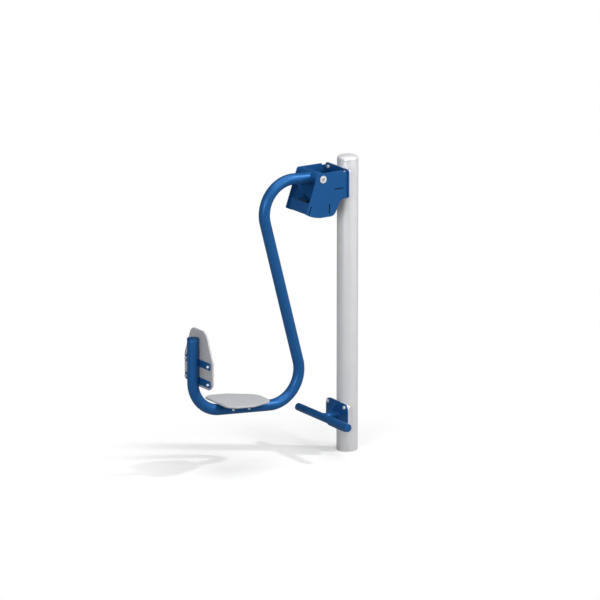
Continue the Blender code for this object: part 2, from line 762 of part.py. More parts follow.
def make_arm_tube(blue, parent):
    """The bent tube with its saddle end on the hub, and the cap of its upright."""
    inner = tube_radius - TUBE_WALL
    tube = add_object("arm_tube", swept(arm_stations(), tube_radius, inner, SIDES_TUBE, pivot), blue, parent)
    hub = rod(hub_radius + CLEARANCE, -HUB_DIAMETER, HUB_DIAMETER, SIDES_TUBE)
    cut(tube, hub, "arm_tube_saddle", along((0, 1, 0), pivot))
    spigot = inner - CLEARANCE
    rings = [
        (-TUBE_CAP_SPIGOT, spigot, False),
        (0, spigot, False),
        (0, tube_radius, False),
        (TUBE_CAP_RISE / 2, tube_radius, False),
        (TUBE_CAP_RISE, tube_radius - TUBE_CAP_RISE / 2, False),
    ]
    cap = add_object("upright_cap", turned(rings, SIDES_TUBE), blue, parent)
    cap.location = Vector((-HEEL_REACH, 0, UPRIGHT_TOP + CLEARANCE)) - pivot


def make_hub(blue, bronze, parent):
    """The hub tube that turns on the axle, with a flanged bush at each end."""
    half = side_inner - RUNNING_GAP - BUSH_FLANGE - CLEARANCE
    hub_bore = hub_radius - HUB_WALL
    hub = add_object("hub_tube", pipe(hub_radius, hub_bore, -half, half, SIDES_TUBE), blue, parent)
    to_axis(hub, (0, 1, 0), (0, 0, 0))
    inner = AXLE_DIAMETER / 2 + CLEARANCE
    outer = hub_bore - CLEARANCE
    flange = BUSH_FLANGE_DIAMETER / 2
    rings = [
        (-BUSH_LENGTH, inner, False),
        (-BUSH_LENGTH, outer, False),
        (0, outer, False),
        (0, flange, False),
        (BUSH_FLANGE, flange, False),
        (BUSH_FLANGE, inner, False),
    ]
    for name, side in (("near", -1), ("far", 1)):
        bush = add_object("hub_bush_" + name, turned(rings, SIDES_TUBE, closed=True), bronze, parent)
        to_axis(bush, (0, side, 0), (0, side * (half + CLEARANCE), 0))


def board_outline(length, width, end_width, side_start, chamfer, slope, corner, end_corner):
    """Half outline of a board along its length, mirrored: wide end first."""
    foot = width / 2 - chamfer
    half = [
        (foot, 0, corner),
        (width / 2, slope, corner),
        (width / 2, side_start, corner),
        (end_width / 2, length, end_corner),
    ]
    other = [(-a, b, r) for a, b, r in half[::-1]]
    return rounded(half + other)


def bevelled(made, width, segments):
    """Rounds the sharp edges of a board."""
    step = made.modifiers.new("edge_round", "BEVEL")
    step.width = width
    step.segments = segments
    step.limit_method = "ANGLE"
    step.angle_limit = math.radians(50)


def stud_mesh():
    """A stud in the board with its cap nut under the bracket, as one turned piece."""
    grip = BRACKET_THICKNESS + 2 * CLEARANCE
    radius = STUD_DIAMETER / 2
    nut = cap_nut_rings(CAP_NUT_FLATS / 2, CAP_NUT_HEX, CAP_NUT_DOME)
    rings = [(-place, size, hexagonal) for place, size, hexagonal in nut[::-1]]
    rings.append((0, radius, False))
    rings.append((grip + STUD_IN_BOARD, radius, False))
    return turned(rings, SIDES_SMALL)


def make_board_group(name, plane_point, along_board, outward, outline, setback, standoff, surfaces, parent):
    """A board, its two brackets and four studs, from the board's wide end.

    plane_point lies on the tube's surface line under the board's wide end,
    along_board runs up the board and outward points from the tube to the board.
    """
    blue, grey, zinc = surfaces
    across = along_board.cross(outward)
    frame = Matrix((across, along_board, outward)).transposed().to_4x4()
    frame.translation = plane_point
    local = Matrix.Translation(-pivot) @ frame
    board_low = standoff + CLEARANCE
    board_shape = extruded(outline, BOARD_THICKNESS, "xy")
    board = add_object(name + "_board", board_shape, grey, parent)
    board.matrix_local = local @ Matrix.Translation((0, 0, board_low + BOARD_THICKNESS / 2))
    bevelled(board, BOARD_EDGE, 2)
    hole = STUD_DIAMETER / 2 + CLEARANCE
    levels = (setback, setback + BRACKET_PITCH)
    stud_reach = bracket_length / 2 - STUD_INSET
    sides = (-stud_reach, stud_reach)
    blind = STUD_IN_BOARD + CLEARANCE
    sockets = []
    for y in levels:
        for x in sides:
            socket = rod(hole, board_low - blind, board_low + blind, SIDES_SMALL)
            sockets.append((socket, frame @ Matrix.Translation((x, y, 0))))
    cut(board, merged(sockets), name + "_board_sockets")
    size = rounded(rectangle(bracket_length, BRACKET_WIDTH, BRACKET_CORNER))
    number = 1
    for label, level in zip(("low", "high"), levels):
        shape = extruded(size, BRACKET_THICKNESS, "xy")
        bracket = add_object(f"{name}_bracket_{label}", shape, blue, parent)
        bracket.matrix_local = local @ Matrix.Translation((0, level, standoff - BRACKET_THICKNESS / 2))
        trough = rod(tube_radius + TROUGH_CLEARANCE, -BRACKET_WIDTH, BRACKET_WIDTH, SIDES_TUBE)
        middle = frame @ Vector((0, level, -tube_radius))
        cut(bracket, trough, f"{name}_bracket_{label}_trough", along(along_board, middle))
        depth = BRACKET_THICKNESS + CUT_OVERRUN
        places = [frame @ Vector((x, level, standoff - BRACKET_THICKNESS / 2)) for x in sides]
        bore(bracket, places, outward, hole, depth, f"{name}_bracket_{label}_holes")
        for x in sides:
            stud = add_object(f"{name}_nut_{number}", stud_mesh(), zinc, parent)
            below = standoff - BRACKET_THICKNESS - CLEARANCE
            stud.matrix_local = local @ Matrix.Translation((x, level, below))
            number += 1


def make_seat(surfaces, parent):
    """The seat board on top of the tube's lowest stretch, with its low bracket
    just clear of the heel bend."""
    knee, heel = arm_vertices()[2:4]
    forward = (knee - heel).normalized()
    upward = Vector((-forward.y, forward.x))
    low_bracket = bend_reach(3) + SEAT_BRACKET_GAP + BRACKET_WIDTH / 2
    start = heel + forward * (low_bracket - SEAT_REAR_SETBACK) + upward * tube_radius
    outline = board_outline(SEAT_LENGTH, SEAT_WIDTH, SEAT_FRONT_WIDTH, SEAT_SIDE_START,
                            SEAT_REAR_CHAMFER, SEAT_REAR_SLOPE, SEAT_CORNER, SEAT_FRONT_CORNER)
    make_board_group("seat", Vector((start.x, 0, start.y)), Vector((forward.x, 0, forward.y)),
                     Vector((upward.x, 0, upward.y)), outline, SEAT_REAR_SETBACK,
                     SEAT_STANDOFF, surfaces, parent)


def make_backrest(surfaces, parent):
    """The backrest board in front of the upright, on the seat's side. Its foot
    overhangs the top of the heel bend."""
    bottom = HEEL_HEIGHT + bend_reach(3) - BACK_OVERHANG
    start = Vector((-HEEL_REACH + tube_radius, 0, bottom))
    outline = board_outline(BACK_HEIGHT, BACK_WIDTH, BACK_TOP_WIDTH, BACK_SIDE_START,
                            BACK_FOOT_CHAMFER, BACK_FOOT_SLOPE, BACK_CORNER, BACK_TOP_CORNER)
    make_board_group("backrest", start, Vector((0, 0, 1)), Vector((1, 0, 0)), outline,
                     BACK_BRACKET_SETBACK, BACK_STANDOFF, surfaces, parent)


def make_foot_rest(blue):
    """The bar that the feet push against, its end plugs, stub and gusset."""
    bar_place = Vector((-FOOT_BAR_REACH, 0, FOOT_BAR_HEIGHT))
    bar_radius = FOOT_BAR_DIAMETER / 2
    bar_bore = bar_radius - FOOT_BAR_WALL
    half = FOOT_BAR_LENGTH / 2 - FOOT_BAR_CAP
    bar = add_object("foot_bar", pipe(bar_radius, bar_bore, -half, half, SIDES_TUBE), blue)
    to_axis(bar, (0, 1, 0), bar_place)
    spigot = bar_bore - CLEARANCE
    edge = FOOT_BAR_CAP / 3
    rings = [
        (-FOOT_BAR_CAP_SPIGOT, spigot, False),
        (CLEARANCE, spigot, False),
        (CLEARANCE, bar_radius, False),
        (FOOT_BAR_CAP - edge, bar_radius, False),
        (FOOT_BAR_CAP, bar_radius - edge, False),
    ]
    for name, side in (("near", -1), ("far", 1)):
        plug = add_object("foot_bar_plug_" + name, turned(rings, SIDES_TUBE), blue)
        to_axis(plug, (0, side, 0), bar_place + Vector((0, side * half, 0)))
    stub_radius = STUB_DIAMETER / 2
    front = plate_front - CLEARANCE
    length = FOOT_BAR_REACH + front
    stub = add_object("foot_stub", pipe(stub_radius, stub_radius - STUB_WALL, 0, length, SIDES_TUBE), blue)
    to_axis(stub, (-1, 0, 0), (front, 0, FOOT_BAR_HEIGHT))
    seat = rod(bar_radius + CLEARANCE, -FOOT_BAR_DIAMETER, FOOT_BAR_DIAMETER, SIDES_TUBE)
    cut(stub, seat, "foot_stub_saddle", along((0, 1, 0), bar_place))
    outline = [
        (0, 0),
        (0, stub_radius + GUSSET_HEIGHT),
        (-GUSSET_TOE, stub_radius + GUSSET_HEIGHT),
        (-GUSSET_REACH, stub_radius + GUSSET_TOE),
        (-GUSSET_REACH, 0),
    ]
    gusset = add_object("foot_gusset", extruded(outline, GUSSET_THICKNESS, "xz"), blue)
    gusset.location = (front, 0, FOOT_BAR_HEIGHT)
    under = rod(stub_radius + CLEARANCE, -POST_DIAMETER, POST_DIAMETER, SIDES_TUBE)
    cut(gusset, under, "foot_gusset_seat", along((-1, 0, 0), (front, 0, FOOT_BAR_HEIGHT)))


def build():
    """Clears the scene and makes every piece."""
    for old in list(bpy.data.objects):
        bpy.data.objects.remove(old)
    blue = material("blue_powder_coat", (0.028, 0.105, 0.300), 0.42, 0.0)
    silver = material("silver_powder_coat", (0.58, 0.59, 0.61), 0.38, 0.35)
    grey = material("grey_board", (0.45, 0.455, 0.48), 0.55, 0.0)
    zinc = material("zinc_plated_steel", (0.78, 0.79, 0.80), 0.30, 1.0)
    steel = material("bright_steel", (0.60, 0.61, 0.62), 0.25, 1.0)
    bronze = material("sintered_bronze", (0.46, 0.30, 0.14), 0.45, 1.0)
    rubber = material("black_rubber", (0.012, 0.012, 0.013), 0.80, 0.0)
    arm = bpy.data.objects.new("arm_pivot", None)
    bpy.context.collection.objects.link(arm)
    arm.location = pivot
    make_post(silver, steel)
    back_height = SIDE_TOP_RISE + SIDE_NECK_DROP
    back_middle = pivot.z + (SIDE_TOP_RISE - SIDE_NECK_DROP) / 2
    back_width = HOUSING_WIDTH + 2 * BACK_PLATE_LIP
    holes = plate_holes(back_height, back_middle, 2 * (side_inner - BACK_BOLT_SETBACK))
    make_bolted_pair("back_plate", back_width, back_height, BACK_PLATE_CORNER,
                     back_middle, holes, blue, silver)
    make_plate_fixings("back_plate", holes, zinc)
    foot_middle = FOOT_PLATE_BOTTOM + FOOT_PLATE_HEIGHT / 2
    holes = plate_holes(FOOT_PLATE_HEIGHT, foot_middle, FOOT_PLATE_WIDTH - 2 * FOOT_BOLT_SETBACK)
    make_bolted_pair("foot_plate", FOOT_PLATE_WIDTH, FOOT_PLATE_HEIGHT, FOOT_PLATE_CORNER,
                     foot_middle, holes, blue, silver)
    make_plate_fixings("foot_plate", holes, zinc)
    make_housing(blue)
    make_axle(steel, zinc)
    make_pads(rubber)
    make_foot_rest(blue)
    make_arm_tube(blue, arm)
    make_hub(blue, bronze, arm)
    make_fin(blue, arm)
    make_seat((blue, grey, zinc), arm)
    make_backrest((blue, grey, zinc), arm)


build()
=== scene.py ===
# %% [markdown]
# # Outdoor leg press machine
# The machine stands in parks. A round post carries a pivot housing at its top. One
# bent tube hangs from the housing and holds a seat and a backrest, and a bar low on
# the post takes the feet. The person pushes against the bar and swings with the seat.
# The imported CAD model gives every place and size. This lesson dresses it: it builds a
# smooth surface for each piece and gives it the finish of the real one.

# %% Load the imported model
import json
import math

import bpy
import numpy as np
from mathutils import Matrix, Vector
from mathutils.geometry import tessellate_polygon


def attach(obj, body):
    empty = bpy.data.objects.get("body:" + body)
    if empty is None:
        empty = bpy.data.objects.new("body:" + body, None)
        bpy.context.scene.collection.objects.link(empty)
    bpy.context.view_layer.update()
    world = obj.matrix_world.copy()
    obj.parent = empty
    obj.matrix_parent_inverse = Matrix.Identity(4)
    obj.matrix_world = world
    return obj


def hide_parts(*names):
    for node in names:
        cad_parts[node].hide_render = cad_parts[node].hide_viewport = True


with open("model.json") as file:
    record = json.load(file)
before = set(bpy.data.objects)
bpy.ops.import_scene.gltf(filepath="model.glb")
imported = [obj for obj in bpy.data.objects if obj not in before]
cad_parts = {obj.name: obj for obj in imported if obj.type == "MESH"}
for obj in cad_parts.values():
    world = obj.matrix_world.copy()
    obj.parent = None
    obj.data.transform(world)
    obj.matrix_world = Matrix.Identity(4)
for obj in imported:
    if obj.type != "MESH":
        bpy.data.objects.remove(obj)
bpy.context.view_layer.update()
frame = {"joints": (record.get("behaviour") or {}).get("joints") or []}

# %% [markdown]
# ## Camera
# The photograph is taken with a long lens from far away, a little above the object, so
# that upright edges stay nearly parallel. A 330 mm lens on a 36 mm wide sensor, 29 m
# away, shows the same. The camera is aimed with a quaternion that turns its own -Z
# axis to the aim point and keeps its Y axis upwards. The lights are aimed the same way.

# %% Camera
scene = bpy.context.scene


def aim(thing, place, target):
    """Puts a camera or a light at a place and turns its -Z axis to the target."""
    scene.collection.objects.link(thing)
    thing.location = place
    thing.rotation_mode = "QUATERNION"
    thing.rotation_quaternion = (Vector(target) - Vector(place)).to_track_quat("-Z", "Y")


camera_place, aim_point = Vector((-15.648, -23.654, 8.477)), Vector((-0.30171, 0.0, 0.87368))
camera = bpy.data.objects.new("camera", bpy.data.cameras.new("camera"))
aim(camera, camera_place, aim_point)
camera.data.sensor_width = 36.0
camera.data.lens = 330.0
camera.data.clip_end = 200.0
bpy.context.scene.camera = camera
print("camera is", round((aim_point - camera_place).length, 3), "m from its aim point")

# %% [markdown]
# ## Studio light
# A small sun gives the shadow that falls to the left. Large round panels overhead, on
# both sides and beside the camera fill in the rest, so that every flat face keeps its
# own tone. The floor and the sky come at the end of the lesson.

# %% Lights
scene.view_settings.view_transform = "Standard"
scene.view_settings.look = "None"
middle, to_sun = Vector((-0.45, 0.0, 0.8)), Vector((0.582, -0.423, 0.695))
panels = {  # place, watts and width in metres
    "top_panel": ((-0.3, -0.4, 8.0), 350.0, 7.0),
    "left_panel": ((-6.0, -3.6, 3.0), 228.0, 3.5),
    "camera_panel": ((-1.6, -6.0, 7.2), 165.0, 3.0),
    "right_panel": ((6.5, -2.5, 2.6), 32.0, 4.0),
    "far_left_panel": ((-6.5, 4.0, 3.0), 39.0, 4.0),
    "front_right_panel": ((3.2, -7.6, 5.2), 400.0, 6.0),
}
sun = bpy.data.lights.new("key_sun", "SUN")
sun.energy, sun.angle = 1.535, math.radians(3.5)
aim(bpy.data.objects.new("key_sun", sun), middle + to_sun * 6, middle)
for name, (place, watts, width) in panels.items():
    panel = bpy.data.lights.new(name, "AREA")
    panel.shape, panel.energy, panel.size = "DISK", watts, width
    aim(bpy.data.objects.new(name, panel), place, middle)

# %% [markdown]
# ## Surfaces from arrays
# Every piece below is a surface worked out with numpy. Most are rings of points: one
# parameter runs along a profile or a path and the other round it. The helpers turn such
# a grid into faces. A fan closes each end, and rings that run all the way round are
# joined to their own start. Each vertex also carries a number called "edge", which is 1
# on rounded rims, 0 on flat faces and -1 deep in a slot. The paint uses it for wear on
# the rims and for painted shade in the slots. A shape is four arrays: points, quads,
# triangles and edge.

# %% Grid helpers
def unit(vectors):
    """Vectors divided by their own lengths."""
    vectors = np.asarray(vectors, float)
    return vectors / np.linalg.norm(vectors, axis=-1, keepdims=True)


def axes(first, second, third):
    """Three directions as the columns of a matrix, for points @ matrix.T."""
    return np.array([first, second, third], float).T


def full_turn(sides):
    """Evenly spaced angles over a full turn."""
    return np.linspace(0, 2 * np.pi, sides, endpoint=False)


def in_space(flat, y=0.0):
    """Points or directions (x, z) in an upright plane, as (x, y, z)."""
    return np.insert(np.asarray(flat, float), 1, y, axis=-1)


def grid_faces(rows, columns, round_rows=False):
    """Quads between neighbouring rows and columns; columns always join round."""
    i = np.arange(rows if round_rows else rows - 1)[:, None]
    j = np.arange(columns)[None, :]
    below, after = (i + 1) % rows, (j + 1) % columns
    corners = (i * columns + j, i * columns + after, below * columns + after, below * columns + j)
    return np.stack(corners, -1).reshape(-1, 4)


def skin(rings, marks=0.0, closed=False):
    """The shape over an array of rings; closed rings join round, others end in a fan at each end.

    A fan's middle point is the mean of its ring. marks is the edge number of each ring.
    """
    count, sides = rings.shape[:2]
    points, quads = rings.reshape(-1, 3), grid_faces(count, sides, closed)
    edge = np.repeat(np.broadcast_to(marks, count), sides)
    if closed:
        return points, quads, np.zeros((0, 3), int), edge
    j, start = np.arange(sides), (count - 1) * sides
    after = (j + 1) % sides
    low = np.stack([after, j, np.full(sides, len(points))], -1)
    high = np.stack([start + j, start + after, np.full(sides, len(points) + 1)], -1)
    points = np.concatenate([points, [rings[0].mean(0), rings[-1].mean(0)]])
    return points, quads, np.concatenate([low, high]), np.append(edge, edge[[0, -1]])


def add_piece(name, shape, finish, body, *nodes, wear=1.0, crease=32.0):
    """One finished piece: mesh, smooth shading, material, body and the nodes it replaces.

    Triangles from one point to every face add up to the volume; below zero, the faces turn
    round. A finish is a material and the record's slot for it; the slot is not used. wear
    scales the edge number, and crease is the angle in degrees past which an edge is shaded
    sharp.
    """
    (points, quads, triangles, edge), (surface, slot) = shape, finish
    fans = np.concatenate([quads[:, [0, 1, 2]], quads[:, [0, 2, 3]], triangles])
    a, b, c = (points[fans[:, k]] - points[0] for k in range(3))
    if (a * np.cross(b, c)).sum() < 0:
        quads, triangles = quads[:, ::-1], triangles[:, ::-1]
    mesh = bpy.data.meshes.new(name)
    mesh.from_pydata(points.tolist(), [], quads.tolist() + triangles.tolist())
    mesh.shade_smooth()
    mesh.set_sharp_from_angle(angle=math.radians(crease))
    values = np.asarray(edge * wear, np.float32)
    mesh.attributes.new("edge", "FLOAT", "POINT").data.foreach_set("value", values)
    mesh.materials.append(surface)
    made = bpy.data.objects.new(name, mesh)
    scene.collection.objects.link(made)
    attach(made, body)
    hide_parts(*nodes)


# %% [markdown]
# ## Turned pieces and hexagons
# Posts, caps, washers and screws are profiles that go round an axis. Bolt heads and nuts
# are turned too, but their radius also depends on the angle: the smaller of a hexagon
# and a cone, which gives the curved chamfer lines that real heads have.

# %% Turned shapes
HEX_SHARPNESS = 34


def turned(profile, axis, origin, sides=96, flats=None, closed=False, aside=(0.31, 0.94, 0.17)):
    """A round shape: each profile row (along, out, mark) goes round the axis on a circle.

    point = origin + along * axis + out * (cos t * u + sin t * v), for t over a full turn, with u
    square to the axis and to aside, and v square to both. The mark is the edge number. Where
    flats is given, a mark of 1 says instead that out stays within the hexagon, which is
    flats / (sum of |cos(t - k * 60)| ** sharpness) ** (1 / sharpness) and has soft corners.
    """
    profile, axis, t = np.asarray(profile, float), unit(axis), full_turn(sides)
    u = unit(np.cross(axis, aside))
    spokes = np.cos(t)[:, None] * u + np.sin(t)[:, None] * np.cross(axis, u)
    out = np.repeat(profile[:, 1:2], sides, 1)
    marks = profile[:, 2] if profile.shape[1] > 2 else 0.0
    if flats:
        shares = np.abs(np.cos(t[:, None] - np.arange(3) * np.pi / 3)) ** HEX_SHARPNESS
        hexagon = flats / shares.sum(1) ** (1 / HEX_SHARPNESS)
        out = np.where(profile[:, 2:3] > 0.5, np.minimum(out, hexagon), out)
        marks = 0.0
    return skin(origin + profile[:, None, 0:1] * axis + out[..., None] * spokes, marks, closed)


def quarter(along, out, radius, start, steps=6):
    """Points (along, out) on a quarter circle about a middle, from start in quarter turns."""
    t = (start + np.linspace(0, 1, steps)) * np.pi / 2
    return np.stack([along + radius * np.sin(t), out + radius * np.cos(t)], -1)


def bar_profile(length, radius, low, high):
    """Rows (along, out, edge) of a round bar, its two rims rounded by low and by high."""
    rows = np.concatenate([[[0, radius - 3 * low]], quarter(low, radius - low, low, -1),
                           quarter(length - high, radius - high, high, 0),
                           [[length, radius - 3 * high]]])
    return np.column_stack([rows, np.r_[0, np.ones(len(rows) - 2), 0]])


# %% [markdown]
# ## Sheets with rounded rims
# Plates, brackets and boards are cut from sheet, so each is an outline with a
# thickness. A real edge is never perfectly sharp: the outline is carried along a small
# quarter circle at both faces, which catches the light as a thin line. Holes are
# further outlines that run the other way round. A narrow flat band inside every rim
# keeps the smooth shading of the rim off the big flat faces.

# %% Sheet shapes
ARC_GAP = 1.5e-5


def outline(corners):
    """Corners (x, y, radius) joined by straight edges, each corner replaced by its arc.

    The arc's centre lies on the bisector, radius / sin(half the angle) from the corner, and
    its points turn evenly from one touching point to the other. They are so close together
    that no edge lies further than ARC_GAP inside the arc.
    """
    corners = np.asarray(corners, float)
    here, radius = corners[:, :2], corners[:, 2]
    before, after = unit(np.roll(here, 1, 0) - here), unit(np.roll(here, -1, 0) - here)
    half = np.arccos(np.clip((before * after).sum(1), -1, 1)) / 2
    centre = here + unit(before + after) * (radius / np.sin(half))[:, None]
    first = here + before * (radius / np.tan(half))[:, None] - centre
    last = here + after * (radius / np.tan(half))[:, None] - centre
    parts = []
    for k, turn in enumerate(np.pi - 2 * half):
        if radius[k] == 0:
            parts.append(here[k:k + 1])
            continue
        widest = 2 * np.arccos(1 - min(0.5, ARC_GAP / radius[k]))
        t = np.linspace(0, turn, max(5, int(np.ceil(turn / widest))))[:, None]
        parts.append(centre[k] + (np.sin(turn - t) * first[k] + np.sin(t) * last[k]) / np.sin(turn))
    return np.concatenate(parts)


def mirrored_outline(half):
    """An outline from the corners of its right half, counter-clockwise."""
    return outline(half + [(-x, y, radius) for x, y, radius in half[::-1]])


def rounded_box(width, height, radius):
    """A rectangle about the origin, counter-clockwise."""
    return mirrored_outline([(width / 2, -height / 2, radius), (width / 2, height / 2, radius)])


def outward(loop):
    """The outward direction at each point, long enough to shift both its edges by 1."""
    arriving, leaving = unit(loop - np.roll(loop, 1, 0)), unit(np.roll(loop, -1, 0) - loop)
    a = np.stack([arriving[:, 1], -arriving[:, 0]], -1)
    b = np.stack([leaving[:, 1], -leaving[:, 0]], -1)
    return (a + b) / (1 + (a * b).sum(1))[:, None]


def sheet(loops, thickness, turn, origin, rim, band=0.0006, slots=(), tab_end=None):
    """A sheet: each outline carried along the rim profile, closed by flat faces on both sides.

    point = origin + (outline - inset * outward) in the sheet's plane + height along its normal,
    where inset and height follow a quarter circle, a straight wall and a quarter circle. The
    walls of slots carry -1 in edge, and so do the ends of tabs, past tab_end in Y: the coat
    paints shade there.
    """
    t = np.linspace(0, np.pi / 2, 4 if rim < 0.0015 else 7)
    start, end = rim * (1 - np.sin(t)), rim * (1 - np.cos(t))
    inset = np.concatenate([[rim + band], start, end, [rim + band]])
    height = np.concatenate([[0], end, thickness - start, [thickness]])
    wear = np.r_[0, np.ones(2 * len(t)), 0]
    # Slot walls get -1 in edge, which the coat paints as shade.
    slot_shade_marks = -np.r_[0, 0, np.ones(2 * len(t) - 2), 0, 0]
    points, quads, edge, flats, lows, highs, first = [], [], [], [], [], [], 0
    for number, loop in enumerate([*loops, *slots]):
        shifted = loop[None] - outward(loop)[None] * inset[:, None, None]
        level = np.broadcast_to(height[:, None, None], (*shifted.shape[:2], 1))
        points.append(np.concatenate([shifted, level], -1).reshape(-1, 3))
        quads.append(grid_faces(len(inset), len(loop)) + first)
        edge.append(np.repeat(wear if number < len(loops) else slot_shade_marks, len(loop)))
        flats.append(shifted[0])
        lows.append(first + np.arange(len(loop)))
        first += len(points[-1])
        highs.append(first + np.arange(-len(loop), 0))
    faces = tessellate_polygon([[(x, y, 0.0) for x, y in flat.tolist()] for flat in flats])
    fans, flat = np.array(faces), np.concatenate(flats)
    a, b, c = (flat[fans[:, k]] for k in range(3))
    area = (b[:, 0] - a[:, 0]) * (c[:, 1] - a[:, 1]) - (b[:, 1] - a[:, 1]) * (c[:, 0] - a[:, 0])
    fans[area < 0] = fans[area < 0][:, ::-1]
    fans = fans[np.abs(area) > 1e-14]
    triangles = np.concatenate([np.concatenate(lows)[fans][:, ::-1], np.concatenate(highs)[fans]])
    points, edge = np.concatenate(points) @ turn.T + origin, np.concatenate(edge)
    # Tab ends get -1 as well, painted shade deep in the slot.
    if tab_end:
        edge[np.abs(points[:, 1]) > tab_end] = -1
    return points, np.concatenate(quads), triangles, edge


# %% [markdown]
# ## Tubes and welds
# A bent tube is a circle carried along a path, and a weld bead is a small one with
# ripples. The ripples come from the drops that a welder lays one after another, so the
# bead swells and sinks a little along its way. Nearly every bead has a twin on the
# other side of the machine's middle plane, so one helper makes both.

# %% Tube and weld shapes
RIPPLE, BEAD_SIDES = 0.0022, 12


def along_path(path, out, radius, sides, closed=False):
    """Rings about a path: path + radius * (cos t * out + sin t * side), side square to both."""
    forward = unit(np.roll(path, -1, 0) - np.roll(path, 1, 0) if closed
                   else np.gradient(path, axis=0))
    out = unit(out - (out * forward).sum(-1, keepdims=True) * forward)
    side, t = np.cross(forward, out), full_turn(sides)
    rings = (np.cos(t)[None, :, None] * out[:, None] + np.sin(t)[None, :, None] * side[:, None])
    return path[:, None] + np.reshape(radius, (-1, 1, 1)) * rings


def weld(path, out, radius, closed=False):
    """The shape of one bead: a thin tube on a path, which fades at open ends.

    Its radius is radius * (0.90 + 0.10 * |sin| once for each drop + 0.05 * a slow sine).
    """
    path = np.asarray(path, float)
    out = np.broadcast_to(np.asarray(out, float), path.shape)
    if closed:
        path, out = np.concatenate([path, path[:1]]), np.concatenate([out, out[:1]])
    place = np.append(0, np.cumsum(np.linalg.norm(np.diff(path, axis=0), axis=1)))
    total = place[-1]
    s = np.linspace(0, total, max(8, int(total / RIPPLE) * 5), endpoint=not closed)
    fine, fine_out = (np.stack([np.interp(s, place, a[:, k]) for k in range(3)], -1)
                      for a in (path, out))
    drops = round(total / RIPPLE)
    swell = np.sin(2 * np.pi * s / total * max(1, drops // 7))
    width = radius * (0.90 + 0.10 * np.abs(np.sin(np.pi * drops * s / total)) + 0.05 * swell)
    if not closed:
        width *= np.sqrt(np.clip(np.minimum(s, total - s) / (1.5 * radius), 0.02, 1))
    return skin(along_path(fine, fine_out, width, BEAD_SIDES, closed), closed=closed)


def weld_pair(path, out, radius):
    """Two beads that mirror each other in the plane Y = 0."""
    return [weld(path * np.array([1, s, 1]), out * np.array([1, s, 1]), radius) for s in (-1, 1)]


def add_welds(name, beads, finish, body):
    """Several beads as one piece."""
    starts = np.cumsum([0] + [len(bead[0]) for bead in beads])
    parts = [(p, q + first, f + first, e) for (p, q, f, e), first in zip(beads, starts)]
    add_piece(name, [np.concatenate(arrays) for arrays in zip(*parts)], finish, body, crease=70.0)


# %% [markdown]
# ## Finishes
# Seven finishes cover the machine: blue and silver powder coat, grey plastic board,
# zinc plated and bare steel, bronze, and rubber. Effects that several of them share are
# node groups with named inputs and outputs, so each is described once. Patterns read
# Object coordinates. Every piece sits at the origin with its place in its mesh, so one
# metre in the texture is one metre on the object.

# %% Node helpers
def new_nodes(owner):
    """An empty node tree for a material or the world."""
    owner.use_nodes = True
    owner.node_tree.nodes.clear()
    return owner.node_tree


def feed(tree, socket, value):
    """Links a socket to another one, or sets it to a number, a vector or a colour."""
    if isinstance(value, bpy.types.NodeSocket):
        tree.links.new(value, socket)
    else:
        socket.default_value = value


def node(tree, kind, *first, **values):
    """A node: its first sockets are fed in order, and its properties and other sockets by name."""
    made = tree.nodes.new("ShaderNode" + kind)
    for name in [name for name in values if hasattr(made, name)]:
        setattr(made, name, values.pop(name))
    for socket, value in zip(made.inputs, first):
        feed(tree, socket, value)
    for name, value in values.items():
        feed(tree, made.inputs[name.replace("_", " ")], value)
    return made


def calc(tree, operation, *numbers, clamp=False):
    """A Math node of one operation on numbers or sockets; returns its output."""
    return node(tree, "Math", *numbers, operation=operation, use_clamp=clamp).outputs[0]


def product(tree, value, *others):
    """Numbers or sockets multiplied in turn by Math nodes; returns the last output."""
    for other in others:
        value = calc(tree, "MULTIPLY", value, other)
    return value


def ramp(tree, value, low, high, to_low=0.0, to_high=1.0):
    """A smooth step of a value between two limits, as a Map Range node; returns its output."""
    return node(tree, "MapRange", value, low, high, to_low, to_high,
                interpolation_type="SMOOTHSTEP").outputs[0]


def noise(tree, vector, scale, detail, roughness):
    """A Noise Texture; returns its value."""
    return node(tree, "TexNoise", Vector=vector, Scale=scale, Detail=detail,
                Roughness=roughness).outputs[0]


def mix_colour(tree, share, a, b):
    """A colour between a and b, each three numbers or a socket; returns the output."""
    made = node(tree, "Mix", share, data_type="RGBA")
    for socket, value in zip([s for s in made.inputs if s.type == "RGBA"], (a, b)):
        feed(tree, socket, (*value, 1.0) if isinstance(value, tuple) else value)
    return next(s for s in made.outputs if s.type == "RGBA")


def new_group(name, inputs, outputs):
    """A node group; its inputs are vectors, numbers or colours, as their start values say."""
    kinds = {type(None): "NodeSocketVector", float: "NodeSocketFloat", tuple: "NodeSocketColor"}
    group = bpy.data.node_groups.new(name, "ShaderNodeTree")
    for label, value in inputs.items():
        socket = group.interface.new_socket(name=label, in_out="INPUT",
                                            socket_type=kinds[type(value)])
        if value is not None:
            socket.default_value = value
    for label in outputs:
        kind = "NodeSocketColor" if label == "Colour" else "NodeSocketFloat"
        group.interface.new_socket(name=label, in_out="OUTPUT", socket_type=kind)
    return (group, group.nodes.new("NodeGroupInput").outputs,
            group.nodes.new("NodeGroupOutput").inputs)


def use(tree, name, **values):
    """Places the node group of that name in a material; returns its outputs."""
    return node(tree, "Group", node_tree=bpy.data.node_groups[name], **values).outputs


# %% [markdown]
# ### Shared effects
# Powder coat is baked from powder, so it keeps a faint orange peel a few millimetres
# wide. Outdoors it also gathers dust: a thin even film, more on faces that look up,
# and splashes of soil near the ground. Hands, shoes and tools rub the edges first.
# Each group puts out plain colours, masks and heights, and each material decides what
# to do with them.

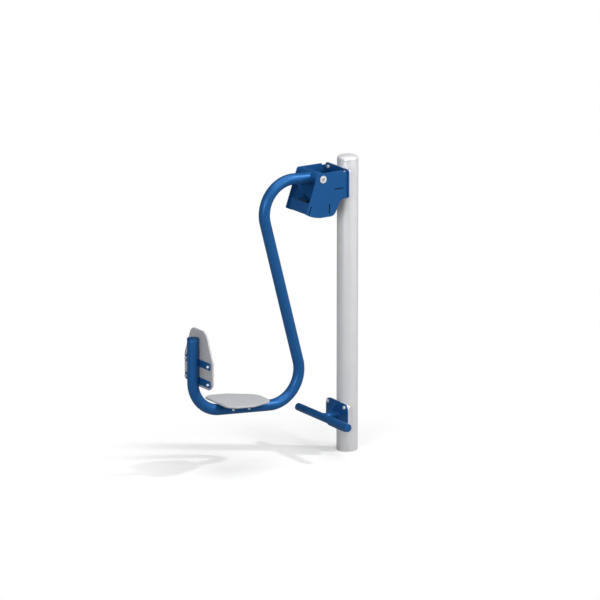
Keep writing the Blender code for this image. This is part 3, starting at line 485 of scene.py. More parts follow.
# %% Orange peel group
tree, given, result = new_group(
    "Orange peel", {"Vector": None, "Size": 0.003}, ["Height", "Blotch"])
where, frequency = given["Vector"], calc(tree, "DIVIDE", 1.0, given["Size"])
wide = noise(tree, where, frequency, 1.5, 0.45)
fine = noise(tree, where, product(tree, frequency, 3.7), 1.0, 0.5)
feed(tree, result["Height"], calc(tree, "MULTIPLY_ADD", fine, 0.35, wide))
feed(tree, result["Blotch"], ramp(tree, noise(tree, where, 5.5, 3.0, 0.6), 0.35, 0.68))

# %% Dust group
tree, given, result = new_group(
    "Outdoor dust", {"Vector": None, "Colour": (0.5, 0.5, 0.5, 1.0), "Film": 0.05,
                     "Soil height": 0.10, "Soil": 0.25}, ["Colour", "Mask"])
where = given["Vector"]
facing = node(tree, "SeparateXYZ", node(tree, "NewGeometry").outputs["Normal"])
upward = ramp(tree, facing.outputs["Z"], -0.2, 1.0, 0.35, 1.0)
spread = ramp(tree, noise(tree, where, 38.0, 5.0, 0.65), 0.30, 0.75)
film = product(tree, upward, spread, given["Film"])
level = node(tree, "SeparateXYZ", where).outputs["Z"]
low = ramp(tree, calc(tree, "DIVIDE", level, given["Soil height"]), 0.0, 1.0, 1.0, 0.0)
specks = calc(tree, "MULTIPLY_ADD", low, 0.30, noise(tree, where, 150.0, 4.0, 0.7))
soil = product(tree, ramp(tree, specks, 0.52, 0.80), low, given["Soil"])
mask = calc(tree, "ADD", film, soil, clamp=True)
feed(tree, result["Mask"], mask)
feed(tree, result["Colour"], mix_colour(tree, mask, given["Colour"], (0.42, 0.39, 0.34)))

# %% Edge wear group
tree, given, result = new_group(
    "Edge wear", {"Vector": None, "Edge": 0.0, "Amount": 0.3, "Grain": 90.0}, ["Mask"])
patch = ramp(tree, noise(tree, given["Vector"], 14.0, 2.0, 0.5), 0.42, 0.70)
chip = ramp(tree, noise(tree, given["Vector"], given["Grain"], 4.0, 0.65), 0.40, 0.62)
rim = ramp(tree, given["Edge"], 0.35, 1.0)
feed(tree, result["Mask"], product(tree, patch, chip, rim, given["Amount"]))

# %% Scratch group
tree, given, result = new_group("Fine scratches", {"Vector": None, "Density": 0.5}, ["Mask"])
lines = []
for turn, stretch in (((0.3, 0.9, 0.2), (16.0, 420.0, 420.0)),
                      ((1.2, 0.1, 1.9), (420.0, 20.0, 420.0))):
    stretched = node(tree, "Mapping", given["Vector"], Rotation=turn, Scale=stretch)
    lines.append(ramp(tree, noise(tree, stretched.outputs[0], 1.0, 1.0, 0.4), 0.66, 0.72))
patch = ramp(tree, noise(tree, given["Vector"], 9.0, 2.0, 0.5), 0.40, 0.75)
feed(tree, result["Mask"],
     product(tree, calc(tree, "MAXIMUM", *lines), patch, given["Density"]))
print("node groups:", [g.name for g in bpy.data.node_groups])

# %% [markdown]
# ### Powder coat
# Blue and silver parts are steel, sprayed with powder and baked. The coat is a tinted
# plastic skin with fine metallic flakes, so part of the light comes back tinted from
# the flakes and part as a plain gloss. Metallic is set between plastic and metal for
# that reason. Rims, where the powder draws thin, show lighter and duller. Slot walls
# and tab ends are painted near black as shade. The cap of the backrest's upright gets a
# darker copy of the blue coat, as painted shade on its top face.

# %% Opening and closing a material
def open_material(name, **values):
    """A material with its shader; returns it, its tree, the shader and Object coordinates."""
    made = bpy.data.materials.new(name)
    tree = new_nodes(made)
    shader = node(tree, "BsdfPrincipled", **values)
    node(tree, "OutputMaterial", shader.outputs[0])
    return made, tree, shader, node(tree, "TexCoord").outputs["Object"]


def close_material(tree, shader, colour, rough, height, strength, distance):
    """Feeds the shader its colour, its roughness and its relief, which goes through a Bump node."""
    bump = node(tree, "Bump", Height=height, Strength=strength, Distance=distance)
    feed(tree, shader.inputs["Base Color"], colour)
    feed(tree, shader.inputs["Roughness"], rough)
    feed(tree, shader.inputs["Normal"], bump.outputs[0])


# %% Powder coat
def powder_coat(name, colour, deep, rubbed, metallic, roughness, peel, film, soil, gloss):
    """A powder coat: base colour with blotches, scratches, worn edges, painted shade in slots and
    dust.
    """
    made, tree, shader, where = open_material(name, Metallic=metallic, Specular_IOR_Level=gloss)
    peel = use(tree, "Orange peel", Vector=where, Size=peel)
    rim = node(tree, "Attribute", attribute_name="edge").outputs["Fac"]
    wear = use(tree, "Edge wear", Vector=where, Edge=rim, Amount=0.55)
    hair = use(tree, "Fine scratches", Vector=where, Density=0.30)
    base = mix_colour(tree, peel["Blotch"], colour, deep)
    base = mix_colour(tree, hair["Mask"], base, rubbed)
    base = mix_colour(tree, wear["Mask"], base, rubbed)
    # Painted shade: where edge is below zero, in slots and on tab ends, the colour goes near black.
    painted_shade_in_slots = calc(tree, "MULTIPLY", rim, -0.9, clamp=True)
    base = mix_colour(tree, painted_shade_in_slots, base, (0.004, 0.010, 0.020))
    dust = use(tree, "Outdoor dust", Vector=where, Colour=base, Film=film, Soil=soil)
    rough = calc(tree, "MULTIPLY_ADD", peel["Blotch"], 0.05, roughness)
    rough = calc(tree, "MULTIPLY_ADD", dust["Mask"], 0.45, rough)
    rough = calc(tree, "MULTIPLY_ADD", hair["Mask"], 0.30, rough, clamp=True)
    close_material(tree, shader, dust["Colour"], rough, peel["Height"], 0.09, 0.0006)
    return made


# The numbers after the colours: metallic, roughness, peel size, dust film, soil and gloss.
blue_coat = powder_coat("blue_coat", (0.0115, 0.091, 0.272), (0.0100, 0.084, 0.254),
                        (0.05, 0.15, 0.35), 0.35, 0.36, 0.0028, 0.010, 0.20, 0.18)
# A darker copy of the blue coat for the upright's cap: painted shade on its top face.
shaded_cap_coat = powder_coat("blue_plug", (0.0060, 0.048, 0.144), (0.0053, 0.043, 0.130),
                        (0.02, 0.06, 0.16), 0.35, 0.46, 0.0028, 0.010, 0.0, 0.12)
silver_coat = powder_coat("silver_coat", (0.675, 0.677, 0.692), (0.65, 0.653, 0.670),
                          (0.80, 0.80, 0.81), 0.30, 0.40, 0.0024, 0.03, 0.10, 0.50)
blue, shaded_cap_blue = (blue_coat, "blue_powder_coat"), (shaded_cap_coat, "blue_powder_coat")
silver = (silver_coat, "silver_powder_coat")
print("coats ready:", blue_coat.name, shaded_cap_coat.name, silver_coat.name)

# %% [markdown]
# ### Board, zinc, steel, bronze and rubber
# Seat and backrest are solid plastic board with a fine pebbled face and a sawn rim
# that is smoother and a little warmer. The fasteners are zinc plated: bright, with
# soft cloudy patches. The axle is plain turned steel, the bushes are sintered bronze
# with tiny pores, and the pads are black rubber, tinted blue as a painted reflection of
# the blue plates round them. The domed nuts on the plates get a paler copy of the zinc,
# as a painted highlight.

# %% Grey board
def board_surface(name):
    """Plastic board: pebbled face from a smooth Voronoi pattern, flecks, scuffs and plain rim."""
    made, tree, shader, where = open_material(name, IOR=1.48)
    pebble = node(tree, "TexVoronoi", Vector=where, feature="SMOOTH_F1", Scale=620.0,
                  Smoothness=0.6).outputs["Distance"]
    fleck = ramp(tree, noise(tree, where, 900.0, 2.0, 0.6), 0.58, 0.72, 0.0, 0.35)
    cloud = ramp(tree, noise(tree, where, 11.0, 3.0, 0.55), 0.35, 0.7)
    rim = node(tree, "Attribute", attribute_name="edge").outputs["Fac"]
    scuff = use(tree, "Fine scratches", Vector=where, Density=0.35)["Mask"]
    base = mix_colour(tree, cloud, (0.397, 0.401, 0.422), (0.376, 0.382, 0.403))
    base = mix_colour(tree, fleck, base, (0.29, 0.295, 0.31))
    base = mix_colour(tree, product(tree, rim, 0.55), base, (0.415, 0.411, 0.404))
    base = mix_colour(tree, scuff, base, (0.52, 0.52, 0.53))
    dust = use(tree, "Outdoor dust", Vector=where, Colour=base, Film=0.06, Soil=0.0)
    rough = calc(tree, "MULTIPLY_ADD", scuff, 0.2, 0.56)
    rough = calc(tree, "MULTIPLY_ADD", dust["Mask"], 0.3, rough)
    relief = product(tree, pebble, calc(tree, "SUBTRACT", 1.0, rim))
    close_material(tree, shader, dust["Colour"], rough, relief, 0.35, 0.0004)
    return made


board = (board_surface("grey_board_face"), "grey_board")


# %% Metals and rubber
def plain_surface(name, colour, second, low, high, scale, relief, metallic=1.0, film=0.06,
                  soil=0.15, gloss=0.5):
    """Metal or rubber: two tones in soft clouds, roughness from low to high, a fine relief."""
    made, tree, shader, where = open_material(name, Metallic=metallic, Specular_IOR_Level=gloss)
    cloud = noise(tree, where, scale, 4.0, 0.6)
    base = mix_colour(tree, ramp(tree, cloud, 0.35, 0.68), colour, second)
    dust = use(tree, "Outdoor dust", Vector=where, Colour=base, Film=film, Soil=soil)
    rough = calc(tree, "MULTIPLY_ADD", dust["Mask"], 0.4, ramp(tree, cloud, 0.3, 0.7, low, high))
    grain = noise(tree, where, scale * 9, 3.0, 0.6)
    close_material(tree, shader, dust["Colour"], rough, grain, 0.2, relief)
    return made


# The numbers after the colours: low and high roughness, cloud scale, relief, metallic, dust
# film, soil and gloss.
zinc, highlight_zinc, steel, bronze, rubber = ((plain_surface(*values), slot) for slot, values in (
    ("zinc_plated_steel", ("zinc_plate", (0.68, 0.69, 0.70), (0.60, 0.61, 0.63),
                           0.30, 0.42, 160.0, 0.0001, 0.30)),
    # A paler copy of the zinc for the domed nuts on the plates: a painted highlight.
    ("zinc_plated_steel", ("zinc_dome", (0.84, 0.85, 0.86), (0.79, 0.80, 0.82),
                           0.30, 0.42, 160.0, 0.0001, 0.10)),
    ("bright_steel", ("turned_steel", (0.50, 0.51, 0.52), (0.40, 0.41, 0.43),
                      0.26, 0.38, 120.0, 0.0001, 0.6)),
    ("sintered_bronze", ("sintered_bronze_face", (0.46, 0.30, 0.15), (0.34, 0.21, 0.10),
                         0.40, 0.55, 300.0, 0.0002)),
    # The rubber is black tinted blue: the tint is a painted reflection of the blue plates.
    ("black_rubber", ("rubber_face", (0.008, 0.024, 0.055), (0.010, 0.029, 0.064),
                      0.70, 0.85, 90.0, 0.0004, 0.0, 0.004, 0.0, 0.08))))
print("finishes:", [finish[0].name for finish in (board, zinc, highlight_zinc, steel, bronze, rubber)])

# %% [markdown]
# ## Post and cap
# The post is a steel tube of 114.3 mm, closed at the top by a pressed steel cap with a
# rounded shoulder and a shallow crown. Both are turned shapes. The profile of the cap
# is a short band, an arc for the shoulder, and a flatter arc for the crown that leaves
# the shoulder without a kink.

# %% Post
POST_RADIUS, POST_HEIGHT, FIT = 0.05715, 1.604, 0.0003
UP, ACROSS = (0, 0, 1), (0, 1, 0)
post = turned(bar_profile(POST_HEIGHT, POST_RADIUS, 0.0006, 0.0008), UP, (0, 0, 0), 160)
add_piece("post_tube", post, silver, "stand", "post", "post_foot_disc", wear=0.4)
print("post", round(2000 * POST_RADIUS, 1), "mm wide,", POST_HEIGHT, "m high")

# %% Cap
CAP_LIP, CAP_BAND, CAP_SHOULDER, CAP_RISE = 0.0007, 0.003, 0.017, 0.0245
inset, rise = POST_RADIUS - CAP_SHOULDER, CAP_RISE - CAP_BAND
crown = (inset ** 2 + rise ** 2 - CAP_SHOULDER ** 2) / (2 * (rise - CAP_SHOULDER))
spread = math.asin(inset / (crown - CAP_SHOULDER))
t = np.linspace(0, np.pi / 2 - spread, 14)
bend = np.stack([CAP_BAND + CAP_SHOULDER * np.sin(t), inset + CAP_SHOULDER * np.cos(t)], -1)
t = np.linspace(spread, 0.02, 20)[1:]
dome = np.stack([CAP_RISE - crown * (1 - np.cos(t)), crown * np.sin(t)], -1)
band = quarter(CAP_LIP, POST_RADIUS - CAP_LIP, CAP_LIP, -1)
cap = np.concatenate([[[0, POST_RADIUS - 0.003]], band, bend, dome])
add_piece("post_cap_dome", turned(cap, UP, (0, 0, POST_HEIGHT + FIT), 160), silver, "stand",
          "post_cap")
print("cap crown radius", round(crown * 1000, 1), "mm")

# %% [markdown]
# ## Bolted plates on the post
# Two flanges are welded to the post and painted silver with it. A blue plate is bolted
# to each: the back plate of the pivot housing, and the plate of the foot rest. All
# four are sheets. Their flat backs sink a little into the post tube, where the real
# flange is cut to fit, and a bead on each side shows the weld.

# %% Plates and flanges
FLANGE_FRONT, FLANGE_THICKNESS, FLANGE_MARGIN, PLATE_THICKNESS = -0.06065, 0.008, 0.002, 0.008
FLANGE_BACK, PLATE_FRONT = FLANGE_FRONT + FLANGE_THICKNESS, FLANGE_FRONT - FIT - PLATE_THICKNESS
HOUSING_TOP, NECK_DROP, FOOT_PLATE_LOW, FOOT_PLATE_HEIGHT = 0.0325, 0.1206, 0.1245, 0.1555
pivot = np.array(frame["joints"][0]["pos_m"], float)
towards_seat = axes((0, -1, 0), (0, 0, 1), (-1, 0, 0))
plates = {  # width, height, corner radius and level of the middle
    "back": (0.218, 0.1531, 0.010, pivot[2] + (HOUSING_TOP - NECK_DROP) / 2),
    "foot": (0.207, FOOT_PLATE_HEIGHT, 0.032, FOOT_PLATE_LOW + FOOT_PLATE_HEIGHT / 2),
}
reach = math.sqrt(POST_RADIUS ** 2 - FLANGE_BACK ** 2)
for label, (width, height, corner, level) in plates.items():
    loop = rounded_box(width - 2 * FLANGE_MARGIN, height - 2 * FLANGE_MARGIN,
                       corner - FLANGE_MARGIN)
    flange = sheet([loop], FLANGE_THICKNESS, towards_seat, (FLANGE_BACK, 0, level), 0.0010)
    add_piece(f"{label}_flange_sheet", flange, silver, "stand", f"{label}_plate_flange")
    plate = sheet([rounded_box(width, height, corner)], PLATE_THICKNESS, towards_seat,
                  (FLANGE_FRONT - FIT, 0, level), 0.0012)
    add_piece(f"{label}_plate_sheet", plate, blue, "stand", f"{label}_plate")
    ends = [(FLANGE_BACK + 0.0002, reach + 0.0004, level + v * (height / 2 - 0.006))
            for v in (-1, 1)]
    add_welds(f"{label}_flange_weld", weld_pair(ends, (1, 1, 0), 0.0028), silver, "stand")
print("plate fronts at X", round(PLATE_FRONT, 5))

# %% [markdown]
# ## Bolts and cap nuts
# M10 bolts go in from the seat side, each on a washer, and end in cap nuts behind the
# flange. A cap nut has a closed dome, so that nobody is caught on a thread. Heads and
# nuts are turned profiles limited by a hexagon. The same arrays serve every place.

# %% Fastener profiles
def bolt_profile(flats, height, washer, thickness, shank):
    """Bolt and washer from the head's face (0) to the shank: rows of along, out and hexed."""
    chamfer, seat = flats * 0.18, height + thickness
    rows = [(0, flats - chamfer * 1.6, 0), (0.00005, flats - chamfer, 0)]
    rows += [(c * chamfer * 0.65, flats - chamfer * (1 - c * 1.9), 1) for c in np.linspace(0, 1, 7)]
    return rows + [(height - 0.0006, flats * 1.3, 1), (height, flats * 1.3, 1),
                   (height, washer - 0.0005, 0), (height + 0.0004, washer, 0),
                   (seat - 0.0004, washer, 0), (seat, washer - 0.0004, 0), (seat, shank, 0),
                   (seat + 0.006, shank, 0)]


def cap_nut_profile(flats, hex_height, dome_height):
    """Cap nut from its seat (0): a hexagon with a chamfer at both ends, a neck and a dome."""
    chamfer = flats * 0.16
    foot = [(c * chamfer * 0.6, flats - chamfer * (1 - 1.9 * c), 1) for c in np.linspace(0, 1, 6)]
    top = [(hex_height - along, out, 1) for along, out, _ in foot[::-1]]
    neck, t = flats - chamfer * 1.1, np.linspace(0, np.pi / 2 - 0.06, 14)
    dome = [(hex_height + dome_height * math.sin(a), neck * math.cos(a), 0) for a in t]
    return [(0, flats - chamfer * 1.5, 0), *foot, *top, *dome]


# %% Fasteners of the plates
BOLT_FLATS, BOLT_HEAD, WASHER_RADIUS, WASHER, SHANK_RADIUS = 0.008, 0.0065, 0.0095, 0.0020, 0.005
NUT_FLATS, NUT_HEIGHT, NUT_DOME = 0.0085, 0.010, 0.008
BOLT_SPAN, BOLT_INSET = 0.160, 0.019
bolt = bolt_profile(BOLT_FLATS, BOLT_HEAD, WASHER_RADIUS, WASHER, SHANK_RADIUS)
nut = cap_nut_profile(NUT_FLATS, NUT_HEIGHT, NUT_DOME)
for label, (_, height, _, level) in plates.items():
    rise = height / 2 - BOLT_INSET
    places = [(s * BOLT_SPAN / 2, level + v * rise) for s in (-1, 1) for v in (1, -1)]
    for number, (y, z) in enumerate(places, start=1):
        face = (PLATE_FRONT - FIT - WASHER - BOLT_HEAD, y, z)
        add_piece(f"{label}_bolt_{number}_head", turned(bolt, (1, 0, 0), face, flats=BOLT_FLATS),
                  zinc, "stand", f"{label}_plate_bolt_{number}")
        seat = (FLANGE_BACK + FIT, y, z)
        # The cap nuts take the paler zinc, which paints a highlight on them.
        add_piece(f"{label}_nut_{number}_dome", turned(nut, (1, 0, 0), seat, flats=NUT_FLATS),
                  highlight_zinc, "stand", f"{label}_plate_nut_{number}")
print("bolts placed on", list(plates))

# %% [markdown]
# ## Pivot housing
# Two laser cut side plates carry the axle. Their lower edge is swept about the axle as
# far as its lowest point and level from there, because the arm's stop swings inside it.
# Three cross sheets tie the sides together: each has a tab on both ends that sits in a
# slot of the side plate, and it shows from outside as a dark gap, darkened further by
# painted shade on the slot walls and the tab ends. The outline is written from the
# pivot, in X and Z.

# %% Side plate outline
SIDE_OUTER, SHEET = 0.1014, 0.005
SIDE_INNER = SIDE_OUTER - SHEET
SIDE_REAR = PLATE_FRONT - FIT - pivot[0]
FRONT_REACH, LEAN, SWEEP = 0.032, math.radians(19.1), 0.208
NECK_LENGTH, REAR_LEAN, STEP_LENGTH, STEP, SMALL = 0.041, math.radians(24.6), 0.0315, 0.009, 0.0016


def to_circle(start, direction, radius, root=1):
    """Where a line from start meets a circle about the pivot: -a + root * sqrt(a^2 - s^2 + r^2).

    a is start along the direction and s its distance; root is 1 for the far point, -1 for the near.
    """
    ahead = start @ direction
    way = -ahead + root * math.sqrt(ahead ** 2 - start @ start + radius ** 2)
    return start + direction * way


def on_circle(radius, angles):
    """Corners without a radius on a circle about the pivot: radius * (cos, sin)."""
    return radius * np.stack([np.cos(angles), np.sin(angles), 0 * angles], -1)


front_top = np.array([-FRONT_REACH, HOUSING_TOP])
upward = np.array([math.sin(LEAN), math.cos(LEAN)])
inward = np.array([math.cos(LEAN), -math.sin(LEAN)])
tip = to_circle(front_top, -upward, SWEEP)
neck = np.array([SIDE_REAR - NECK_LENGTH, -NECK_DROP])
rear_foot = neck - np.array([math.tan(REAR_LEAN), 1.0]) * (SWEEP - NECK_DROP)
angles = np.linspace(math.atan2(tip[1], tip[0]), -math.pi / 2, 34)[2:]
side_loop = outline([
    (SIDE_REAR, -NECK_DROP, SMALL), (SIDE_REAR, HOUSING_TOP - STEP, SMALL),
    (SIDE_REAR - STEP_LENGTH, HOUSING_TOP - STEP, SMALL),
    (SIDE_REAR - STEP_LENGTH, HOUSING_TOP, SMALL), (*front_top, 0.014), (*tip, 0.004),
    *on_circle(SWEEP, angles), (*rear_foot, 0.040), (*neck, 0.036)])
print("side plate outline has", len(side_loop), "points")

# %% Side plates with slots
FRONT_INSET, FRONT_HEIGHT, FRONT_TAB, FRONT_TAB_RISE = 0.0165, 0.060, 0.0465, 0.0045
REAR_RISE, REAR_HEIGHT, REAR_TAB, REAR_TAB_RISE = 0.006, 0.074, 0.0527, 0.0095
SHELF_DROP, SHELF_LENGTH, SHELF_TAB, SHELF_SETBACK = 0.0627, 0.094, 0.0545, 0.026
FIN_REAR, PAD_THICKNESS, AXLE_HOLE = 0.022, 0.016, 0.0153
front_bottom = to_circle(front_top + inward * FRONT_INSET, -upward, SWEEP) + upward * SHEET / 2
rear_x, rear_bottom = FIN_REAR + FIT + PAD_THICKNESS + FIT + SHEET / 2, REAR_RISE - SWEEP
shelf_rear = SIDE_REAR - FIT


def slot_loop(length, turn, middle):
    """A tab slot: a small rectangle turned about its middle, clockwise because it is a hole."""
    c, s = math.cos(turn), math.sin(turn)
    flat = rounded_box(SHEET + 2 * FIT, length + 2 * FIT, 0.0006)
    return (flat @ np.array([[c, -s], [s, c]]) + middle)[::-1]


slots = [
    slot_loop(FRONT_TAB, LEAN, front_bottom + upward * (FRONT_TAB_RISE + FRONT_TAB / 2)),
    slot_loop(REAR_TAB, 0, (rear_x, rear_bottom + REAR_TAB_RISE + REAR_TAB / 2)),
    slot_loop(SHELF_TAB, math.pi / 2, (shelf_rear - SHELF_SETBACK - SHELF_TAB / 2, -SHELF_DROP))]
axle_hole = on_circle(AXLE_HOLE, -full_turn(72))[:, :2]
upright_sheet = axes((1, 0, 0), (0, 0, 1), (0, -1, 0))
for label, y in (("near", -SIDE_INNER), ("far", SIDE_OUTER)):
    side = sheet([side_loop, axle_hole], SHEET, upright_sheet, pivot + (0, y, 0), 0.0007,
                 slots=slots)
    add_piece("side_sheet_" + label, side, blue, "stand", "side_plate_" + label)
print("slots in each side plate:", len(slots))

# %% Cross sheets
TAB_END = SIDE_OUTER - 0.0035


def tabbed_loop(height, tab, rise):
    """A sheet between the side plates with a tab at both ends, counter-clockwise."""
    inner = SIDE_INNER - FIT
    return mirrored_outline([
        (inner, 0, 0.0008), (inner, rise, 0.0004), (TAB_END, rise, 0.0008),
        (TAB_END, rise + tab, 0.0008), (inner, rise + tab, 0.0004), (inner, height, 0.0008)])


lift, push, front_place = in_space(upward), in_space(inward), pivot + in_space(front_bottom)
front_turn, rear_turn = axes(ACROSS, lift, push), axes(ACROSS, UP, (1, 0, 0))
sheets = {
    "front_plate": (tabbed_loop(FRONT_HEIGHT, FRONT_TAB, FRONT_TAB_RISE), front_turn,
                    front_place - push * SHEET / 2),
    "rear_plate": (tabbed_loop(REAR_HEIGHT, REAR_TAB, REAR_TAB_RISE), rear_turn,
                   pivot + (rear_x - SHEET / 2, 0, rear_bottom)),
    "shelf_plate": (tabbed_loop(SHELF_LENGTH, SHELF_TAB, SHELF_SETBACK),
                    axes(ACROSS, (-1, 0, 0), UP), pivot + (shelf_rear, 0, -SHELF_DROP - SHEET / 2)),
}
for label, (loop, turn, origin) in sheets.items():
    # tab_end sets -1 on the tab ends, painted shade in the slots.
    tabbed = sheet([loop], SHEET, turn, origin, 0.0005, 0.0002, tab_end=TAB_END - 0.0002)
    add_piece(label + "_sheet", tabbed, blue, "stand", label)
print("cross sheets:", list(sheets))

# %% Housing welds
corner_y = SIDE_INNER - 0.0003
plate_ends = [(PLATE_FRONT - 0.0005, SIDE_INNER - 0.0004, pivot[2] + z)
              for z in (-NECK_DROP + 0.004, HOUSING_TOP - 0.013)]
shelf_ends = [(pivot[0] + SIDE_REAR - back, corner_y, pivot[2] - SHELF_DROP + SHEET / 2)
              for back in (0.020, 0.045)]
front_ends = [front_place + lift * along + push * SHEET / 2 + (0, corner_y, 0)
              for along in (0.010, 0.034)]
beads = weld_pair(plate_ends, (-1, -1, 0), 0.0026) + weld_pair(shelf_ends, (0, -1, 1), 0.0022)
add_welds("housing_weld", beads + weld_pair(front_ends, push - (0, 1, 0), 0.0022), blue, "stand")

# %% [markdown]
# ## Axle and end stops
# The axle is a plain bar, closed on each side by a round zinc disc with a socket screw
# in its middle. The hexagonal recess is the same hexagon formula, cut inwards. Two
# rubber pads stop the arm: one leans on the front sheet, one on the rear sheet.

# %% Axle, end discs and screws
AXLE_RADIUS, SOCKET_FLATS = 0.015, 0.004
axle = turned(bar_profile(2 * SIDE_OUTER, AXLE_RADIUS, 0.0004, 0.0004), ACROSS,
              pivot - (0, SIDE_OUTER, 0))
add_piece("axle_bar", axle, steel, "stand", "axle")
disc = np.concatenate([
    [[0, 0.012]], quarter(0.0005, 0.0195, 0.0005, -1), quarter(0.0036, 0.0186, 0.0014, 0, 8),
    quarter(0.0046, 0.0098, 0.0004, 2)[::-1], [[0.0016, 0.0094], [0.0015, 0.0060]]])
screw = [(0.0018, 0.0070, 0), (0.0018, 0.0088, 0), (0.0022, 0.0090, 0), (0.0044, 0.0090, 0),
         (0.0049, 0.0086, 0), (0.0050, 0.0080, 0), (0.0050, 0.0054, 0), (0.0049, 0.0050, 1),
         (0.0046, 0.0050, 1), (0.0030, 0.0050, 1), (0.0028, 0.0044, 1), (0.0028, 0.0020, 0)]
both_ends = (("near", -1), ("far", 1))
for label, s in both_ends:
    place = pivot + (0, s * (SIDE_OUTER + FIT), 0)
    add_piece("axle_disc_" + label, turned(disc, (0, s, 0), place), zinc, "stand",
              "axle_cap_" + label)
    socket = turned(screw, (0, s, 0), place, flats=SOCKET_FLATS, aside=(1.0, 0.0, 0.2))
    add_piece("axle_socket_screw_" + label, socket, steel, "stand", "axle_screw_" + label)
print("axle", round(2000 * AXLE_RADIUS), "mm thick,", round(2000 * SIDE_OUTER, 1), "mm long")

# %% Rubber pads
SWING_LIMIT, PAD_WIDTH, PAD_HEIGHT = math.radians(16.0), 0.060, 0.044
PAD_PROUD, PAD_RAISE = 0.014, 0.004
pad_loop = rounded_box(PAD_WIDTH, PAD_HEIGHT, 0.004)
pad_face = front_bottom + inward * (SHEET / 2 + 2 * FIT + PAD_THICKNESS)
pad_high = pad_face + upward * (FRONT_HEIGHT + PAD_PROUD)
pad_low = pad_high - upward * PAD_HEIGHT
c, s = math.cos(SWING_LIMIT), math.sin(SWING_LIMIT)
swung_back = np.array([[c, -s], [s, c]])
fin_high, fin_low = swung_back @ pad_high, swung_back @ pad_low
pads = {
    "front_pad": (front_turn, (pad_high + pad_low) / 2 - inward * (FIT + PAD_THICKNESS)),
    "rear_pad": (rear_turn, (FIN_REAR + FIT, fin_low[1] + PAD_RAISE + PAD_HEIGHT / 2)),
}
for label, (turn, place) in pads.items():
    pad = sheet([pad_loop], PAD_THICKNESS, turn, pivot + in_space(place), 0.0022)
    add_piece(label + "_block", pad, rubber, "stand", label)
print("fin's low front corner", np.round(fin_low * 1000, 1))

# %% [markdown]
# ## Arm tube and hub
# One 60.3 mm tube is bent three times: at the shoulder, the knee and the heel. It is
# straight between the bends, so its path is straight lines and arcs. At the top it is
# cut to sit on the hub tube: each line of the tube runs on until it meets the hub's
# cylinder, which gives the saddle curve of the cut in closed form.

# %% Arm path
TUBE, HUB, BEND, SIDES = 0.03015, 0.03015, 0.175, 96
root, shoulder = np.array([0, -0.009]), np.array([-0.3589, 0.0136])
knee, heel, upright_top = (-0.2518, 0.3037), (-0.9737, 0.3626), (-0.9737, 0.761)
corners = np.array([pivot[[0, 2]] + root, pivot[[0, 2]] + shoulder, knee, heel, upright_top])
ways = unit(np.diff(corners, axis=0))
turns = np.arctan2(ways[:-1, 0] * ways[1:, 1] - ways[:-1, 1] * ways[1:, 0],
                   (ways[:-1] * ways[1:]).sum(1))
reaches = BEND * np.tan(np.abs(turns) / 2)
path = [corners[:1]]
for k, (turn, reach) in enumerate(zip(turns, reaches)):
    first = corners[k + 1] - ways[k] * reach
    spoke = np.array([ways[k][1], -ways[k][0]]) * BEND * np.sign(turn)
    a = np.linspace(0, turn, int(abs(turn) / 0.03))[:, None]
    bend = first - spoke + np.cos(a) * spoke + np.sin(a) * np.array([-spoke[1], spoke[0]])
    steps = max(2, int(np.linalg.norm(first - path[-1][-1]) / 0.02))
    path += [np.linspace(path[-1][-1], first, steps)[1:-1], bend]
flat_path = np.concatenate([*path, np.linspace(path[-1][-1], corners[-1], 12)[1:]])
arm_path = in_space(flat_path)
length = np.linalg.norm(np.diff(arm_path, axis=0), axis=1).sum()
print("arm path", round(float(length), 3), "m, bends", np.round(np.degrees(turns), 1))

# %% Arm tube
forward = unit(np.gradient(flat_path, axis=0))
out = in_space(np.stack([-forward[:, 1], forward[:, 0]], -1))
rings = along_path(arm_path, out, TUBE, SIDES)


def hub_saddle(radius, grow, way):
    """A ring where the tube meets the hub: each line of the tube, followed to the hub's cylinder.

    A line's length is -a + sqrt(a ** 2 - q ** 2 + radius ** 2), with q its start seen from the
    pivot and a that start along the tube, or 0 where there is no root. way is 1 or -1, the
    direction round the tube.
    """
    t = full_turn(SIDES)
    spokes = np.cos(t)[:, None] * out[0] + way * np.sin(t)[:, None] * np.array(ACROSS)
    start = arm_path[0] + (TUBE + grow) * spokes
    q = (start - pivot)[:, [0, 2]]
    ahead = q @ ways[0]
    inside = ahead ** 2 - (q ** 2).sum(1) + radius ** 2
    length = np.where(inside > 0, -ahead + np.sqrt(np.maximum(inside, 0)), 0.0)
    return start + length[:, None] * in_space(ways[0]), spokes


saddle, spokes = hub_saddle(HUB - 0.0006, 0.0, -1)
top = arm_path[-1]
rim = [top + (TUBE - inset) * (rings[-1] - top) / TUBE + (0, 0, rise)
       for inset, rise in ((0.0002, 0.0), (0.0006, 0.0001), (0.004, 0.0001))]
tube = np.stack([saddle - spokes * 0.0035, saddle - spokes * 0.0015, saddle, *rings[3:-1],
                 rings[-1] - (0, 0, 0.0004), *rim])
worn = np.r_[[0.5] * 3, [0] * (len(tube) - 3)]
add_piece("arm_tube_bent", skin(tube, worn), blue, "arm", "arm_tube")
# The cap takes the darker blue, painted shade on its top face.
upright_cap = turned(bar_profile(0.004, TUBE, 0.0004, 0.0024), UP, top + (0, 0, FIT), 128)
add_piece("upright_cap_disc", upright_cap, shaded_cap_blue, "arm", "upright_cap", wear=0.6)
print("arm tube has", len(tube), "rings of", SIDES, "points")

